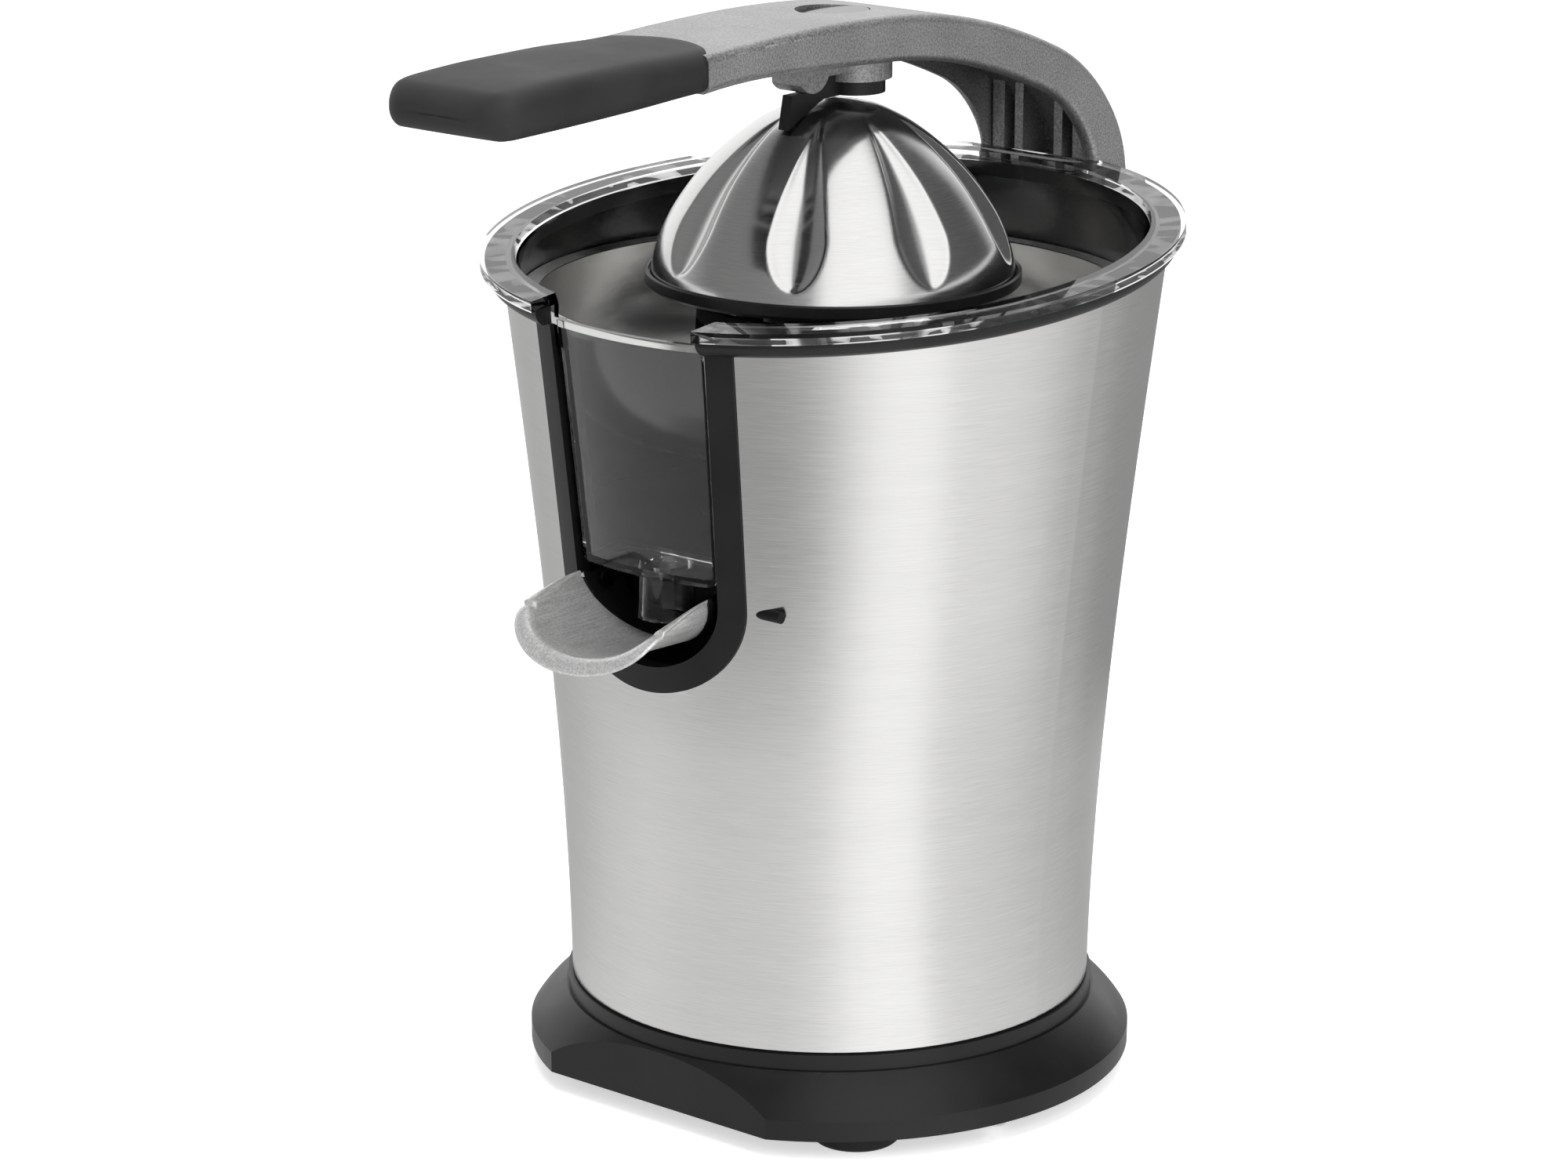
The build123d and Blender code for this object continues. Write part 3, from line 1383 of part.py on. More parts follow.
with BuildPart() as gearbox_housing:
    with BuildSketch(Plane.XY.offset(gear_floor_z)):
        Circle(output_box_r)
        with Locations((idler_x, idler_y)):
            Circle(idler_box_r)
        with Locations(*motor_bolts):
            Circle(6.5)
        make_hull()
    extrude(amount=box_wall)
    with BuildSketch(Plane.XY.offset(gear_floor_z)):
        Circle(output_box_r)
        with Locations((idler_x, idler_y)):
            Circle(idler_box_r)
        make_hull()
    extrude(amount=gear_lid_z - gear_floor_z)
    with BuildSketch(Plane.XY.offset(gear_floor_z)):
        with Locations(*deck_screws):
            Circle(5.5)
    extrude(amount=gear_lid_z - gear_floor_z)
    with BuildSketch(Plane.XY.offset(gear_floor_z + box_wall)):
        Circle(output_box_r - box_wall)
        with Locations((idler_x, idler_y)):
            Circle(idler_box_r - box_wall)
        make_hull()
    extrude(amount=40, mode=Mode.SUBTRACT)
    # feet for the motor screws
    with BuildSketch(Plane.XY.offset(93.2)):
        with Locations(*motor_bolts):
            Circle(6.0)
    extrude(amount=gear_floor_z - 93.2)
    with BuildSketch(Plane.XY.offset(93)):
        with Locations(*motor_bolts):
            Circle(2.05)
    extrude(amount=18, mode=Mode.SUBTRACT)
    # bores: output bush, idler pin, motor shaft, deck screws
    with BuildSketch(Plane.XY.offset(gear_floor_z - 1)):
        Circle(9.0)
    extrude(amount=5, mode=Mode.SUBTRACT)
    with BuildSketch(Plane.XY.offset(gear_floor_z)):
        with Locations((idler_x, idler_y)):
            Circle(idler_pin_r)
        with Locations((motor_x, motor_y)):
            Circle(5.0)
    extrude(amount=5, mode=Mode.SUBTRACT)
    with BuildSketch(Plane.XY.offset(gear_lid_z - 16)):
        with Locations(*deck_screws):
            Circle(2.1)
    extrude(amount=20, mode=Mode.SUBTRACT)
gearbox_housing.part.label = "gearbox_housing"
export_step(gearbox_housing.part, "parts/gearbox_housing.step")

with BuildPart() as gearbox_lid:
    with BuildSketch(Plane.XY.offset(gear_lid_z + 0.05)):
        Circle(output_box_r)
        with Locations((idler_x, idler_y)):
            Circle(idler_box_r)
        make_hull()
    extrude(amount=gear_lid_top_z - gear_lid_z - 0.05)
    with BuildSketch(Plane.XY.offset(gear_lid_z + 0.05)):
        with Locations(*deck_screws):
            Circle(5.5)
    extrude(amount=gear_lid_top_z - gear_lid_z - 0.05)
    with BuildSketch(Plane.XY.offset(gear_lid_z)):
        Circle(9.0)
        with Locations(*deck_screws):
            Circle(2.1)
        with Locations((idler_x, idler_y)):
            Circle(idler_pin_r)
    extrude(amount=5, mode=Mode.SUBTRACT)
gearbox_lid.part.label = "gearbox_lid"
export_step(gearbox_lid.part, "parts/gearbox_lid.step")

with BuildPart() as output_bushes:
    with BuildSketch(Plane.XY.offset(gear_floor_z)):
        Circle(8.98)
        Circle(hub_r + running_gap, mode=Mode.SUBTRACT)
    extrude(amount=box_wall)
    with BuildSketch(Plane.XY.offset(gear_lid_z + 0.1)):
        Circle(8.98)
        Circle(hub_r + running_gap, mode=Mode.SUBTRACT)
    extrude(amount=gear_lid_top_z - gear_lid_z - 0.2)
output_bushes.part.label = "output_bushes"
export_step(output_bushes.part, "parts/output_bushes.step")

output_angle = 90.0
with BuildPart() as output_gear:
    with BuildSketch(Plane.XY.offset(output_gear_low_z)):
        with BuildLine():
            gear_outline(big_teeth, module_out, output_angle)
        make_face()
    extrude(amount=8)
    with BuildSketch(Plane.XY.offset(gear_floor_z + 0.3)):
        Circle(hub_r)
    extrude(amount=gear_lid_top_z + 0.7 - gear_floor_z - 0.3)
    # web pockets
    with BuildSketch(Plane.XY.offset(output_gear_low_z + 4)):
        with PolarLocations(15.8, 6):
            Circle(4.6)
    extrude(amount=5, mode=Mode.SUBTRACT)
    with BuildSketch(Plane.XY.offset(gear_floor_z)):
        RegularPolygon(hex_flats / 2 + 0.06, 6, major_radius=False)
    extrude(amount=40, mode=Mode.SUBTRACT)
output_gear.part.label = "output_gear"
export_step(output_gear.part, "parts/output_gear.step")

idler_small_angle = 270.0 + 180.0 / small_teeth
idler_big_angle = -90.0 + motor_angle
with BuildPart() as idler_gear:
    with BuildSketch(Plane.XY.offset(idler_wheel_low_z)):
        with BuildLine():
            gear_outline(big_teeth, module_in, idler_big_angle)
        make_face()
    extrude(amount=5)
    with BuildSketch(Plane.XY.offset(idler_pinion_low_z)):
        with BuildLine():
            gear_outline(small_teeth, module_out, idler_small_angle)
        make_face()
    extrude(amount=17)
    with BuildSketch(Plane.XY.offset(idler_wheel_low_z - 2)):
        Circle(5.0)
    extrude(amount=3)
    with BuildSketch(Plane.XY.offset(idler_wheel_low_z - 3)):
        Circle(idler_pin_r + running_gap)
    extrude(amount=30, mode=Mode.SUBTRACT)
idler_turn = Location((idler_x, idler_y, 0))
idler_part = idler_gear.part.moved(idler_turn)
idler_part.label = "idler_gear"
export_step(idler_part, "parts/idler_gear.step")

with BuildPart() as idler_pin:
    with BuildSketch(Plane.XY.offset(gear_floor_z + 0.1)):
        with Locations((idler_x, idler_y)):
            Circle(idler_pin_r)
    extrude(amount=gear_lid_top_z - gear_floor_z - 0.2)
idler_pin.part.label = "idler_pin"
export_step(idler_pin.part, "parts/idler_pin.step")

pinion_angle = 90.0 + motor_angle + 180.0 / small_teeth
with BuildPart() as motor_pinion:
    with BuildSketch(Plane.XY.offset(pinion_low_z)):
        with BuildLine():
            gear_outline(small_teeth, module_in, pinion_angle)
        make_face()
    extrude(amount=7.5)
    with BuildSketch(Plane.XY.offset(pinion_low_z - 1)):
        Circle(motor_shaft_r)
    extrude(amount=12, mode=Mode.SUBTRACT)
pinion_part = motor_pinion.part.moved(Location((motor_x, motor_y, 0)))
pinion_part.label = "motor_pinion"
export_step(pinion_part, "parts/motor_pinion.step")

# ================================================================ drive shaft
with BuildPart() as drive_shaft:
    with BuildSketch(Plane.XY.offset(shaft_low_z)):
        RegularPolygon(hex_flats / 2, 6, major_radius=False)
    extrude(amount=shaft_shoulder_z + 1 - shaft_low_z)
    with BuildSketch(Plane.XY.offset(shaft_shoulder_z)):
        Circle(shaft_r + 2)
    extrude(amount=shaft_round_z - shaft_shoulder_z)
    with BuildSketch(Plane.XY.offset(shaft_round_z)):
        Circle(shaft_r)
    extrude(amount=shaft_hex_z - shaft_round_z)
    with BuildSketch(Plane.XY.offset(shaft_hex_z)):
        RegularPolygon(hex_flats / 2, 6, major_radius=False)
    extrude(amount=shaft_top_z - shaft_hex_z)
    chamfer(drive_shaft.faces().sort_by(Axis.Z)[-1].edges(), 0.5)
drive_shaft.part.label = "drive_shaft"
export_step(drive_shaft.part, "parts/drive_shaft.step")

with BuildPart() as shaft_bush:
    with BuildSketch(Plane.XY.offset(shaft_round_z + 0.4)):
        Circle(collar_bore_r - 0.02)
        Circle(shaft_r + running_gap, mode=Mode.SUBTRACT)
    extrude(amount=21.0)
shaft_bush.part.label = "shaft_bush"
export_step(shaft_bush.part, "parts/shaft_bush.step")

with BuildPart() as shaft_seal:
    with BuildSketch(Plane.XY.offset(collar_top_z - 4.4)):
        Circle(collar_bore_r - 0.02)
        Circle(shaft_r + running_gap, mode=Mode.SUBTRACT)
    extrude(amount=4.2)
    with BuildSketch(Plane.XY.offset(collar_top_z - 2.2)):
        Circle(collar_bore_r - 1.2)
        Circle(shaft_r + 0.9, mode=Mode.SUBTRACT)
    extrude(amount=3, mode=Mode.SUBTRACT)
shaft_seal.part.label = "shaft_seal"
export_step(shaft_seal.part, "parts/shaft_seal.step")

spring_low_z = 144.3
spring_high_z = 151.3
spring_wire_r = 0.5
spring_r = 6.3
with BuildPart() as shaft_spring:
    with BuildLine():
        coil = Helix(
            pitch=(spring_high_z - spring_low_z) / 3,
            height=spring_high_z - spring_low_z,
            radius=spring_r,
            center=(0, 0, spring_low_z),
        )
    with BuildSketch(Plane(origin=coil @ 0, z_dir=coil % 0)):
        Circle(spring_wire_r)
    sweep()
shaft_spring.part.label = "shaft_spring"
export_step(shaft_spring.part, "parts/shaft_spring.step")

# ================================================================ start switch
with BuildPart() as start_switch:
    with BuildSketch(Plane.XY.offset(switch_low_z)):
        with Locations((0, switch_y)):
            Rectangle(20, 6.4)
    extrude(amount=9.6)
    with BuildSketch(Plane.XZ):
        with Locations(*switch_screw_spots):
            Circle(1.3)
    extrude(amount=10, mode=Mode.SUBTRACT)
    with BuildSketch(Plane.XY.offset(switch_low_z + 4.8)):
        with Locations((0, switch_y)):
            Circle(1.6)
    extrude(amount=10, mode=Mode.SUBTRACT)
    with BuildSketch(Plane.XY.offset(switch_low_z - 1.9)):
        with Locations((-8.2, switch_y), (0, switch_y), (8.2, switch_y)):
            Rectangle(1.0, 4.0)
    extrude(amount=2.4)
start_switch.part.label = "start_switch"
export_step(start_switch.part, "parts/start_switch.step")

with BuildPart() as switch_plunger:
    with BuildSketch(Plane.XY.offset(switch_low_z + 7.2)):
        with Locations((0, switch_y)):
            Circle(1.5)
    extrude(amount=5.2)
switch_plunger.part.label = "switch_plunger"
export_step(switch_plunger.part, "parts/switch_plunger.step")

with BuildPart() as switch_bracket:
    with BuildSketch(Plane.XY.offset(switch_low_z - 0.7)):
        with Locations((0, -7.3)):
            Rectangle(22, 1.2)
    extrude(amount=gear_floor_z - switch_low_z + 0.7)
    with BuildSketch(Plane.XY.offset(gear_floor_z - 1.3)):
        with Locations((0, -11.1)):
            Rectangle(20, 8.8)
    extrude(amount=1.2)
    with BuildSketch(Plane.XZ.offset(0)):
        with Locations(*switch_screw_spots):
            Circle(1.3)
    extrude(amount=20, mode=Mode.SUBTRACT)
switch_bracket.part.label = "switch_bracket"
export_step(switch_bracket.part, "parts/switch_bracket.step")

with BuildPart() as switch_screws:
    with BuildSketch(Plane.XZ.offset(0.6)):
        with Locations(*switch_screw_spots):
            Circle(1.2)
    extrude(amount=8.6)
    with BuildSketch(Plane.XZ.offset(8.0)):
        with Locations(*switch_screw_spots):
            Circle(2.2)
    extrude(amount=1.4)
switch_screws.part.label = "switch_screws"
export_step(switch_screws.part, "parts/switch_screws.step")

# ================================================================ motor
motor_spot = Location((motor_x, motor_y, 0))

with BuildPart() as motor_stator:
    with BuildSketch(Plane.XY.offset(stack_low_z)):
        RectangleRounded(motor_plate, motor_plate, 5)
        Circle(stator_bore_r, mode=Mode.SUBTRACT)
        with PolarLocations(24.2, 4, start_angle=45):
            Rectangle(8.4, 9.0, mode=Mode.SUBTRACT)
        with GridLocations(motor_bolt_pitch, motor_bolt_pitch, 2, 2):
            Circle(2.2, mode=Mode.SUBTRACT)
    extrude(amount=stack_high_z - stack_low_z)
stator_part = motor_stator.part.moved(motor_spot)
stator_part.label = "motor_stator"
export_step(stator_part, "parts/motor_stator.step")

with BuildPart() as motor_windings:
    for base in (stack_low_z - 6.4, stack_high_z + 0.2):
        with BuildSketch(Plane.XY.offset(base)):
            Circle(28.4)
            Circle(20.0, mode=Mode.SUBTRACT)
        extrude(amount=6.2)
    fillet(motor_windings.edges().filter_by(GeomType.CIRCLE), 1.6)
    with BuildSketch(Plane.XY.offset(stack_low_z - 1)):
        with PolarLocations(24.2, 4, start_angle=45):
            Rectangle(8.0, 8.6)
    extrude(amount=stack_high_z - stack_low_z + 2)
winding_part = motor_windings.part.moved(motor_spot)
winding_part.label = "motor_windings"
export_step(winding_part, "parts/motor_windings.step")

with BuildPart() as motor_rotor:
    with BuildSketch(Plane.XY.offset(stack_low_z - 1)):
        Circle(rotor_r)
        Circle(motor_shaft_r, mode=Mode.SUBTRACT)
    extrude(amount=stack_high_z - stack_low_z + 2)
    with BuildSketch(Plane.XY.offset(stack_low_z - 3)):
        Circle(rotor_r - 0.8)
        Circle(rotor_r - 6, mode=Mode.SUBTRACT)
    extrude(amount=stack_high_z - stack_low_z + 6)
rotor_part = motor_rotor.part.moved(motor_spot)
rotor_part.label = "motor_rotor"
export_step(rotor_part, "parts/motor_rotor.step")

with BuildPart() as motor_shaft:
    with BuildSketch(Plane.XY.offset(motor_shaft_low_z)):
        Circle(motor_shaft_r)
    extrude(amount=pinion_low_z + 7.7 - motor_shaft_low_z)
shaft_part = motor_shaft.part.moved(motor_spot)
shaft_part.label = "motor_shaft"
export_step(shaft_part, "parts/motor_shaft.step")

with BuildPart() as motor_fan:
    with BuildSketch(Plane.XY.offset(fan_low_z)):
        Circle(26)
        Circle(motor_shaft_r, mode=Mode.SUBTRACT)
    extrude(amount=1.2)
    with BuildSketch(Plane.XY.offset(fan_low_z)):
        Circle(6)
        Circle(motor_shaft_r, mode=Mode.SUBTRACT)
    extrude(amount=7)
    with BuildSketch(Plane.XY.offset(fan_low_z + 1)):
        with PolarLocations(15.5, 10):
            Rectangle(20, 1.2)
    extrude(amount=5.6)
fan_part = motor_fan.part.moved(motor_spot)
fan_part.label = "motor_fan"
export_step(fan_part, "parts/motor_fan.step")

with BuildPart() as motor_brackets:
    for plate, post, seat in ((33.0, 36.0, lower_seat_z), (90.0, 80.0, upper_seat_z)):
        post_length = 12.0 if plate < 50 else 10.0
        with BuildSketch(Plane.XY.offset(plate)):
            RectangleRounded(motor_plate, motor_plate, 5)
            with PolarLocations(21, 4):
                SlotOverall(19, 12, mode=Mode.SUBTRACT)
            with GridLocations(motor_bolt_pitch, motor_bolt_pitch, 2, 2):
                Circle(2.1, mode=Mode.SUBTRACT)
            Circle(5.2, mode=Mode.SUBTRACT)
        extrude(amount=3)
        with BuildSketch(Plane.XY.offset(post)):
            with GridLocations(motor_bolt_pitch, motor_bolt_pitch, 2, 2):
                Circle(4.0)
                Circle(2.1, mode=Mode.SUBTRACT)
        extrude(amount=post_length)
        with BuildSketch(Plane.XY.offset(seat)):
            Circle(8.0)
            Circle(5.2, mode=Mode.SUBTRACT)
        extrude(amount=9)
bracket_part = motor_brackets.part.moved(motor_spot)
bracket_part.label = "motor_brackets"
export_step(bracket_part, "parts/motor_brackets.step")

with BuildPart() as motor_bushes:
    for seat in (lower_seat_z, upper_seat_z):
        with BuildSketch(Plane.XY.offset(seat)):
            Circle(5.18)
            Circle(motor_shaft_r + running_gap, mode=Mode.SUBTRACT)
        extrude(amount=9)
bush_part = motor_bushes.part.moved(motor_spot)
bush_part.label = "motor_bushes"
export_step(bush_part, "parts/motor_bushes.step")

with BuildPart() as motor_screws:
    with BuildSketch(Plane.XY.offset(30.4)):
        with GridLocations(motor_bolt_pitch, motor_bolt_pitch, 2, 2):
            Circle(3.6)
    extrude(amount=2.6)
    with BuildSketch(Plane.XY.offset(32)):
        with GridLocations(motor_bolt_pitch, motor_bolt_pitch, 2, 2):
            Circle(1.95)
    extrude(amount=77)
screw_part = motor_screws.part.moved(motor_spot)
screw_part.label = "motor_screws"
export_step(screw_part, "parts/motor_screws.step")

# ================================================================ cord inlet
with BuildPart() as cord_gland:
    with BuildSketch(Plane.XZ.offset(-65.5)):
        with Locations((0, gland_z)):
            Circle(gland_stem_r)
    extrude(amount=-7.5)
    # square neck that stops the gland from turning in the shell
    with BuildSketch(Plane.XZ.offset(-69.6)):
        with Locations((0, gland_z)):
            RectangleRounded(2 * gland_stem_r, 2 * gland_stem_r, gland_neck_corner_r)
    extrude(amount=-3)
    with BuildSketch(Plane.XZ.offset(-71.6)):
        with Locations((0, gland_z)):
            Circle(gland_stem_r + 2.6)
    extrude(amount=-3.2)
    fillet(cord_gland.edges().filter_by(GeomType.CIRCLE).sort_by(Axis.Y)[-1:], 1.2)
    with BuildSketch(Plane.XZ.offset(-60)):
        with Locations((0, gland_z)):
            Circle(gland_bore_r)
    extrude(amount=-20, mode=Mode.SUBTRACT)
cord_gland.part.label = "cord_gland"
export_step(cord_gland.part, "parts/cord_gland.step")

with BuildPart() as gland_nut:
    with BuildSketch(Plane.XZ.offset(-65.8)):
        with Locations((0, gland_z)):
            RegularPolygon(gland_stem_r + 2.4, 6)
            Circle(gland_stem_r + 0.05, mode=Mode.SUBTRACT)
    extrude(amount=-3.4)
gland_nut.part.label = "gland_nut"
export_step(gland_nut.part, "parts/gland_nut.step")
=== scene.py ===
from math import asin, cos, pi, radians, sin, sqrt

import bmesh
import bpy
from mathutils import Matrix, Vector


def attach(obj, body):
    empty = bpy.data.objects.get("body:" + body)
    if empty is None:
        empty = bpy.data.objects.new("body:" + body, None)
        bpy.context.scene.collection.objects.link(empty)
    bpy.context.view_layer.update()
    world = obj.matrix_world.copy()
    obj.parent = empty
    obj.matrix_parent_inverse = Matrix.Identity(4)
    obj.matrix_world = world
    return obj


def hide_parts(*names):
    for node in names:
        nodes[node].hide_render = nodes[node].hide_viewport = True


# Dressing of the motor-driven lever citrus press. Metres, +Z up, -Y to the front.
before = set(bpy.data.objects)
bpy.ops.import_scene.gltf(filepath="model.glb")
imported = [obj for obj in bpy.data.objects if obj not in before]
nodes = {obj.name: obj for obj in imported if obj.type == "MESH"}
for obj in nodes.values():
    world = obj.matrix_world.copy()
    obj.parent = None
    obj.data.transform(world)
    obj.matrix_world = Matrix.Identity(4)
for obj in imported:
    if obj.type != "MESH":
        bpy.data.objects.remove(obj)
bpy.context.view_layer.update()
MM = 0.001


# ---------------------------------------------------------------- node helpers
class Graph:
    """A small wrapper to write the node tree of a material or the world in order."""

    def __init__(self, owner, output_kind="ShaderNodeOutputMaterial"):
        owner.use_nodes = True
        self.owner = owner
        self.tree = owner.node_tree
        self.tree.nodes.clear()
        self.output = self.node(output_kind)

    def node(self, kind, values=None, **settings):
        made = self.tree.nodes.new(kind)
        for key, value in settings.items():
            setattr(made, key, value)
        for key, value in (values or {}).items():
            made.inputs[key].default_value = value
        return made

    def link(self, source, target):
        self.tree.links.new(source, target)

    def math(self, operation, a, b=None):
        made = self.node("ShaderNodeMath", operation=operation)
        for index, value in enumerate((a, b)):
            if value is None:
                continue
            if isinstance(value, (int, float)):
                made.inputs[index].default_value = value
            else:
                self.link(value, made.inputs[index])
        return made.outputs[0]

    def weighted(self, first, second, share):
        """Sum of two values, the first with its share and the second with the rest."""
        return self.math("ADD", self.math("MULTIPLY", first, share), self.math("MULTIPLY", second, 1 - share))

    def position(self):
        """Object coordinates, in metres; every piece's origin is the frame's."""
        return self.node("ShaderNodeTexCoord").outputs["Object"]

    def stretched(self, along_x, along_y, along_z):
        """Coordinates scaled along each axis."""
        made = self.node("ShaderNodeMapping", {"Scale": (along_x, along_y, along_z)})
        self.link(self.position(), made.inputs["Vector"])
        return made.outputs[0]

    def scaled(self, scale):
        """Coordinates scaled alike in every direction."""
        return self.stretched(scale, scale, scale)

    def turned(self, around, along, outward=1.0):
        """Coordinates wrapped round the Z axis: angle, radius and height, each scaled."""
        split = self.node("ShaderNodeSeparateXYZ")
        self.link(self.position(), split.inputs[0])
        x, y, z = split.outputs
        angle = self.math("ARCTAN2", y, x)
        radius = self.math("SQRT", self.math("ADD", self.math("MULTIPLY", x, x), self.math("MULTIPLY", y, y)))
        joined = self.node("ShaderNodeCombineXYZ")
        self.link(self.math("MULTIPLY", angle, around), joined.inputs[0])
        self.link(self.math("MULTIPLY", radius, outward), joined.inputs[1])
        self.link(self.math("MULTIPLY", z, along), joined.inputs[2])
        return joined.outputs[0]

    def noise(self, vector, detail, roughness=0.5):
        made = self.node("ShaderNodeTexNoise", {"Scale": 1.0, "Detail": detail, "Roughness": roughness})
        self.link(vector, made.inputs["Vector"])
        return made.outputs["Fac"]

    def spread(self, value, low, high, from_low=0.3, from_high=0.7):
        """A value mapped to the range from low to high."""
        made = self.node(
            "ShaderNodeMapRange",
            {"From Min": from_low, "From Max": from_high, "To Min": low, "To Max": high},
        )
        self.link(value, made.inputs["Value"])
        return made.outputs[0]

    def blend(self, value, dark, light, from_low=0.3, from_high=0.7):
        """A colour between dark and light."""
        ramp = self.node("ShaderNodeValToRGB")
        ramp.color_ramp.elements[0].position = from_low
        ramp.color_ramp.elements[0].color = (*dark, 1)
        ramp.color_ramp.elements[1].position = from_high
        ramp.color_ramp.elements[1].color = (*light, 1)
        self.link(value, ramp.inputs[0])
        return ramp.outputs[0]

    def levels(self, value, stops):
        """Grey levels that follow a value through (place, level) stops."""
        ramp = self.node("ShaderNodeValToRGB")
        while len(ramp.color_ramp.elements) < len(stops):
            ramp.color_ramp.elements.new(0.5)
        for element, (place, level) in zip(ramp.color_ramp.elements, stops):
            element.position = place
            element.color = (level, level, level, 1)
        self.link(value, ramp.inputs[0])
        return ramp.outputs[0]

    def bump(self, height, strength, distance):
        made = self.node("ShaderNodeBump", {"Strength": strength, "Distance": distance})
        self.link(height, made.inputs["Height"])
        return made.outputs[0]

    def surface(self, color=None, roughness=None, normal=None, tangent=None, **sockets):
        shader = self.node("ShaderNodeBsdfPrincipled")
        for key, value in sockets.items():
            shader.inputs[key.replace("_", " ")].default_value = value
        linked = {"Base Color": color, "Roughness": roughness, "Normal": normal, "Tangent": tangent}
        for key, source in linked.items():
            if source is not None:
                self.link(source, shader.inputs[key])
        self.link(shader.outputs[0], self.output.inputs["Surface"])
        return self.owner


def material_graph(name):
    return Graph(bpy.data.materials.new(name))


# ---------------------------------------------------------------- materials
def brushed_metal(name, dark, light, rough, anisotropy, painted_shade=None, bright_side=None):
    """Steel brushed round the Z axis: fine lines that run round the piece.

    Its shade colour, if given, is painted shade on the faces turned away from the bright side.
    Bright_side scales the position and adds to it, for the direction in which the bright side faces.
    """
    g = material_graph(name)
    lines = g.noise(g.turned(around=7.0, along=3000.0), detail=4.0, roughness=0.65)
    broad = g.noise(g.turned(around=1.5, along=220.0, outward=20.0), detail=2.0)
    tangent = g.node("ShaderNodeTangent", direction_type="RADIAL", axis="Z").outputs[0]
    color = g.blend(g.weighted(lines, broad, share=0.8), dark, light)
    # Painted shade: faces turned away from the bright side take the dark shade colour.
    if painted_shade:
        scale, offset = bright_side
        outward = g.node("ShaderNodeVectorMath", {1: scale, 2: offset}, operation="MULTIPLY_ADD")
        g.link(g.position(), outward.inputs[0])
        facing = g.node("ShaderNodeVectorMath", operation="DOT_PRODUCT")
        g.link(g.node("ShaderNodeTexCoord").outputs["Normal"], facing.inputs[0])
        g.link(outward.outputs[0], facing.inputs[1])
        is_bright = g.math("GREATER_THAN", facing.outputs["Value"], 0.0)
        with_painted_shade = g.node("ShaderNodeMix", data_type="RGBA")
        with_painted_shade.inputs["A"].default_value = (*painted_shade, 1)
        g.link(is_bright, with_painted_shade.inputs["Factor"])
        g.link(color, with_painted_shade.inputs["B"])
        color = with_painted_shade.outputs["Result"]
    return g.surface(
        color=color,
        roughness=g.spread(lines, *rough),
        normal=g.bump(lines, strength=0.12, distance=0.00002),
        tangent=tangent,
        Metallic=1.0,
        Anisotropic=anisotropy,
    )


def moulded_plastic(name, dark, light, rough, grain=2200.0, depth=0.25, shine=0.3):
    """Moulded plastic with a fine spark-eroded grain and faint broad cloudiness."""
    g = material_graph(name)
    spark_marks = g.noise(g.scaled(grain), detail=2.0)
    cloud = g.noise(g.scaled(45.0), detail=3.0)
    return g.surface(
        color=g.blend(cloud, dark, light),
        roughness=g.spread(cloud, *rough),
        normal=g.bump(spark_marks, strength=depth, distance=0.00004),
        Specular_IOR_Level=shine,
    )


def metallic_paint(name, dark, light):
    """Silver paint with visible flakes."""
    g = material_graph(name)
    flakes = g.noise(g.scaled(1700.0), detail=2.0, roughness=0.7)
    cloud = g.noise(g.scaled(60.0), detail=2.0)
    return g.surface(
        color=g.blend(g.weighted(flakes, cloud, share=0.85), dark, light, from_low=0.35, from_high=0.68),
        roughness=g.spread(flakes, 0.34, 0.5),
        normal=g.bump(flakes, strength=0.35, distance=0.00005),
        Metallic=0.75,
    )


def clear_plastic(name):
    """Clear moulded plastic with faint flow lines and hairline scratches."""
    g = material_graph(name)
    flow = g.noise(g.stretched(70.0, 70.0, 22.0), detail=2.0)
    scratch = g.noise(g.stretched(400.0, 400.0, 30.0), detail=5.0, roughness=0.7)
    return g.surface(
        roughness=g.spread(scratch, 0.0, 0.08, from_low=0.5, from_high=0.8),
        normal=g.bump(flow, strength=0.1, distance=0.0001),
        Base_Color=(0.9, 0.905, 0.905, 1),
        Transmission_Weight=1.0,
        IOR=1.34,
    )


def machined_metal(name, dark, light, rough=(0.25, 0.4)):
    """Plain or plated metal with light tool marks."""
    g = material_graph(name)
    marks = g.noise(g.scaled(900.0), detail=3.0)
    return g.surface(
        color=g.blend(marks, dark, light),
        roughness=g.spread(marks, *rough),
        normal=g.bump(marks, strength=0.12, distance=0.00004),
        Metallic=1.0,
    )


def drawn_sheet(name, dark, light, rough):
    """Pressed sheet steel, brushed along the Y axis before it was bent."""
    g = material_graph(name)
    lines = g.noise(g.stretched(2600.0, 90.0, 2600.0), detail=4.0, roughness=0.65)
    grain = g.noise(g.scaled(1500.0), detail=2.0)
    mixed = g.weighted(lines, grain, share=0.6)
    return g.surface(
        color=g.blend(mixed, dark, light, from_low=0.38, from_high=0.62),
        roughness=g.spread(mixed, *rough),
        normal=g.bump(mixed, strength=0.25, distance=0.00004),
        Metallic=0.7,
    )


def wound_wire(name):
    """Lacquered copper wire, wound round the Z axis."""
    g = material_graph(name)
    turns = g.noise(g.turned(around=2.0, along=2400.0, outward=2400.0), detail=1.0)
    return g.surface(
        color=g.blend(turns, (0.28, 0.09, 0.03), (0.6, 0.27, 0.1)),
        roughness=g.spread(turns, 0.25, 0.45),
        normal=g.bump(turns, strength=0.8, distance=0.0002),
        Metallic=0.8,
    )


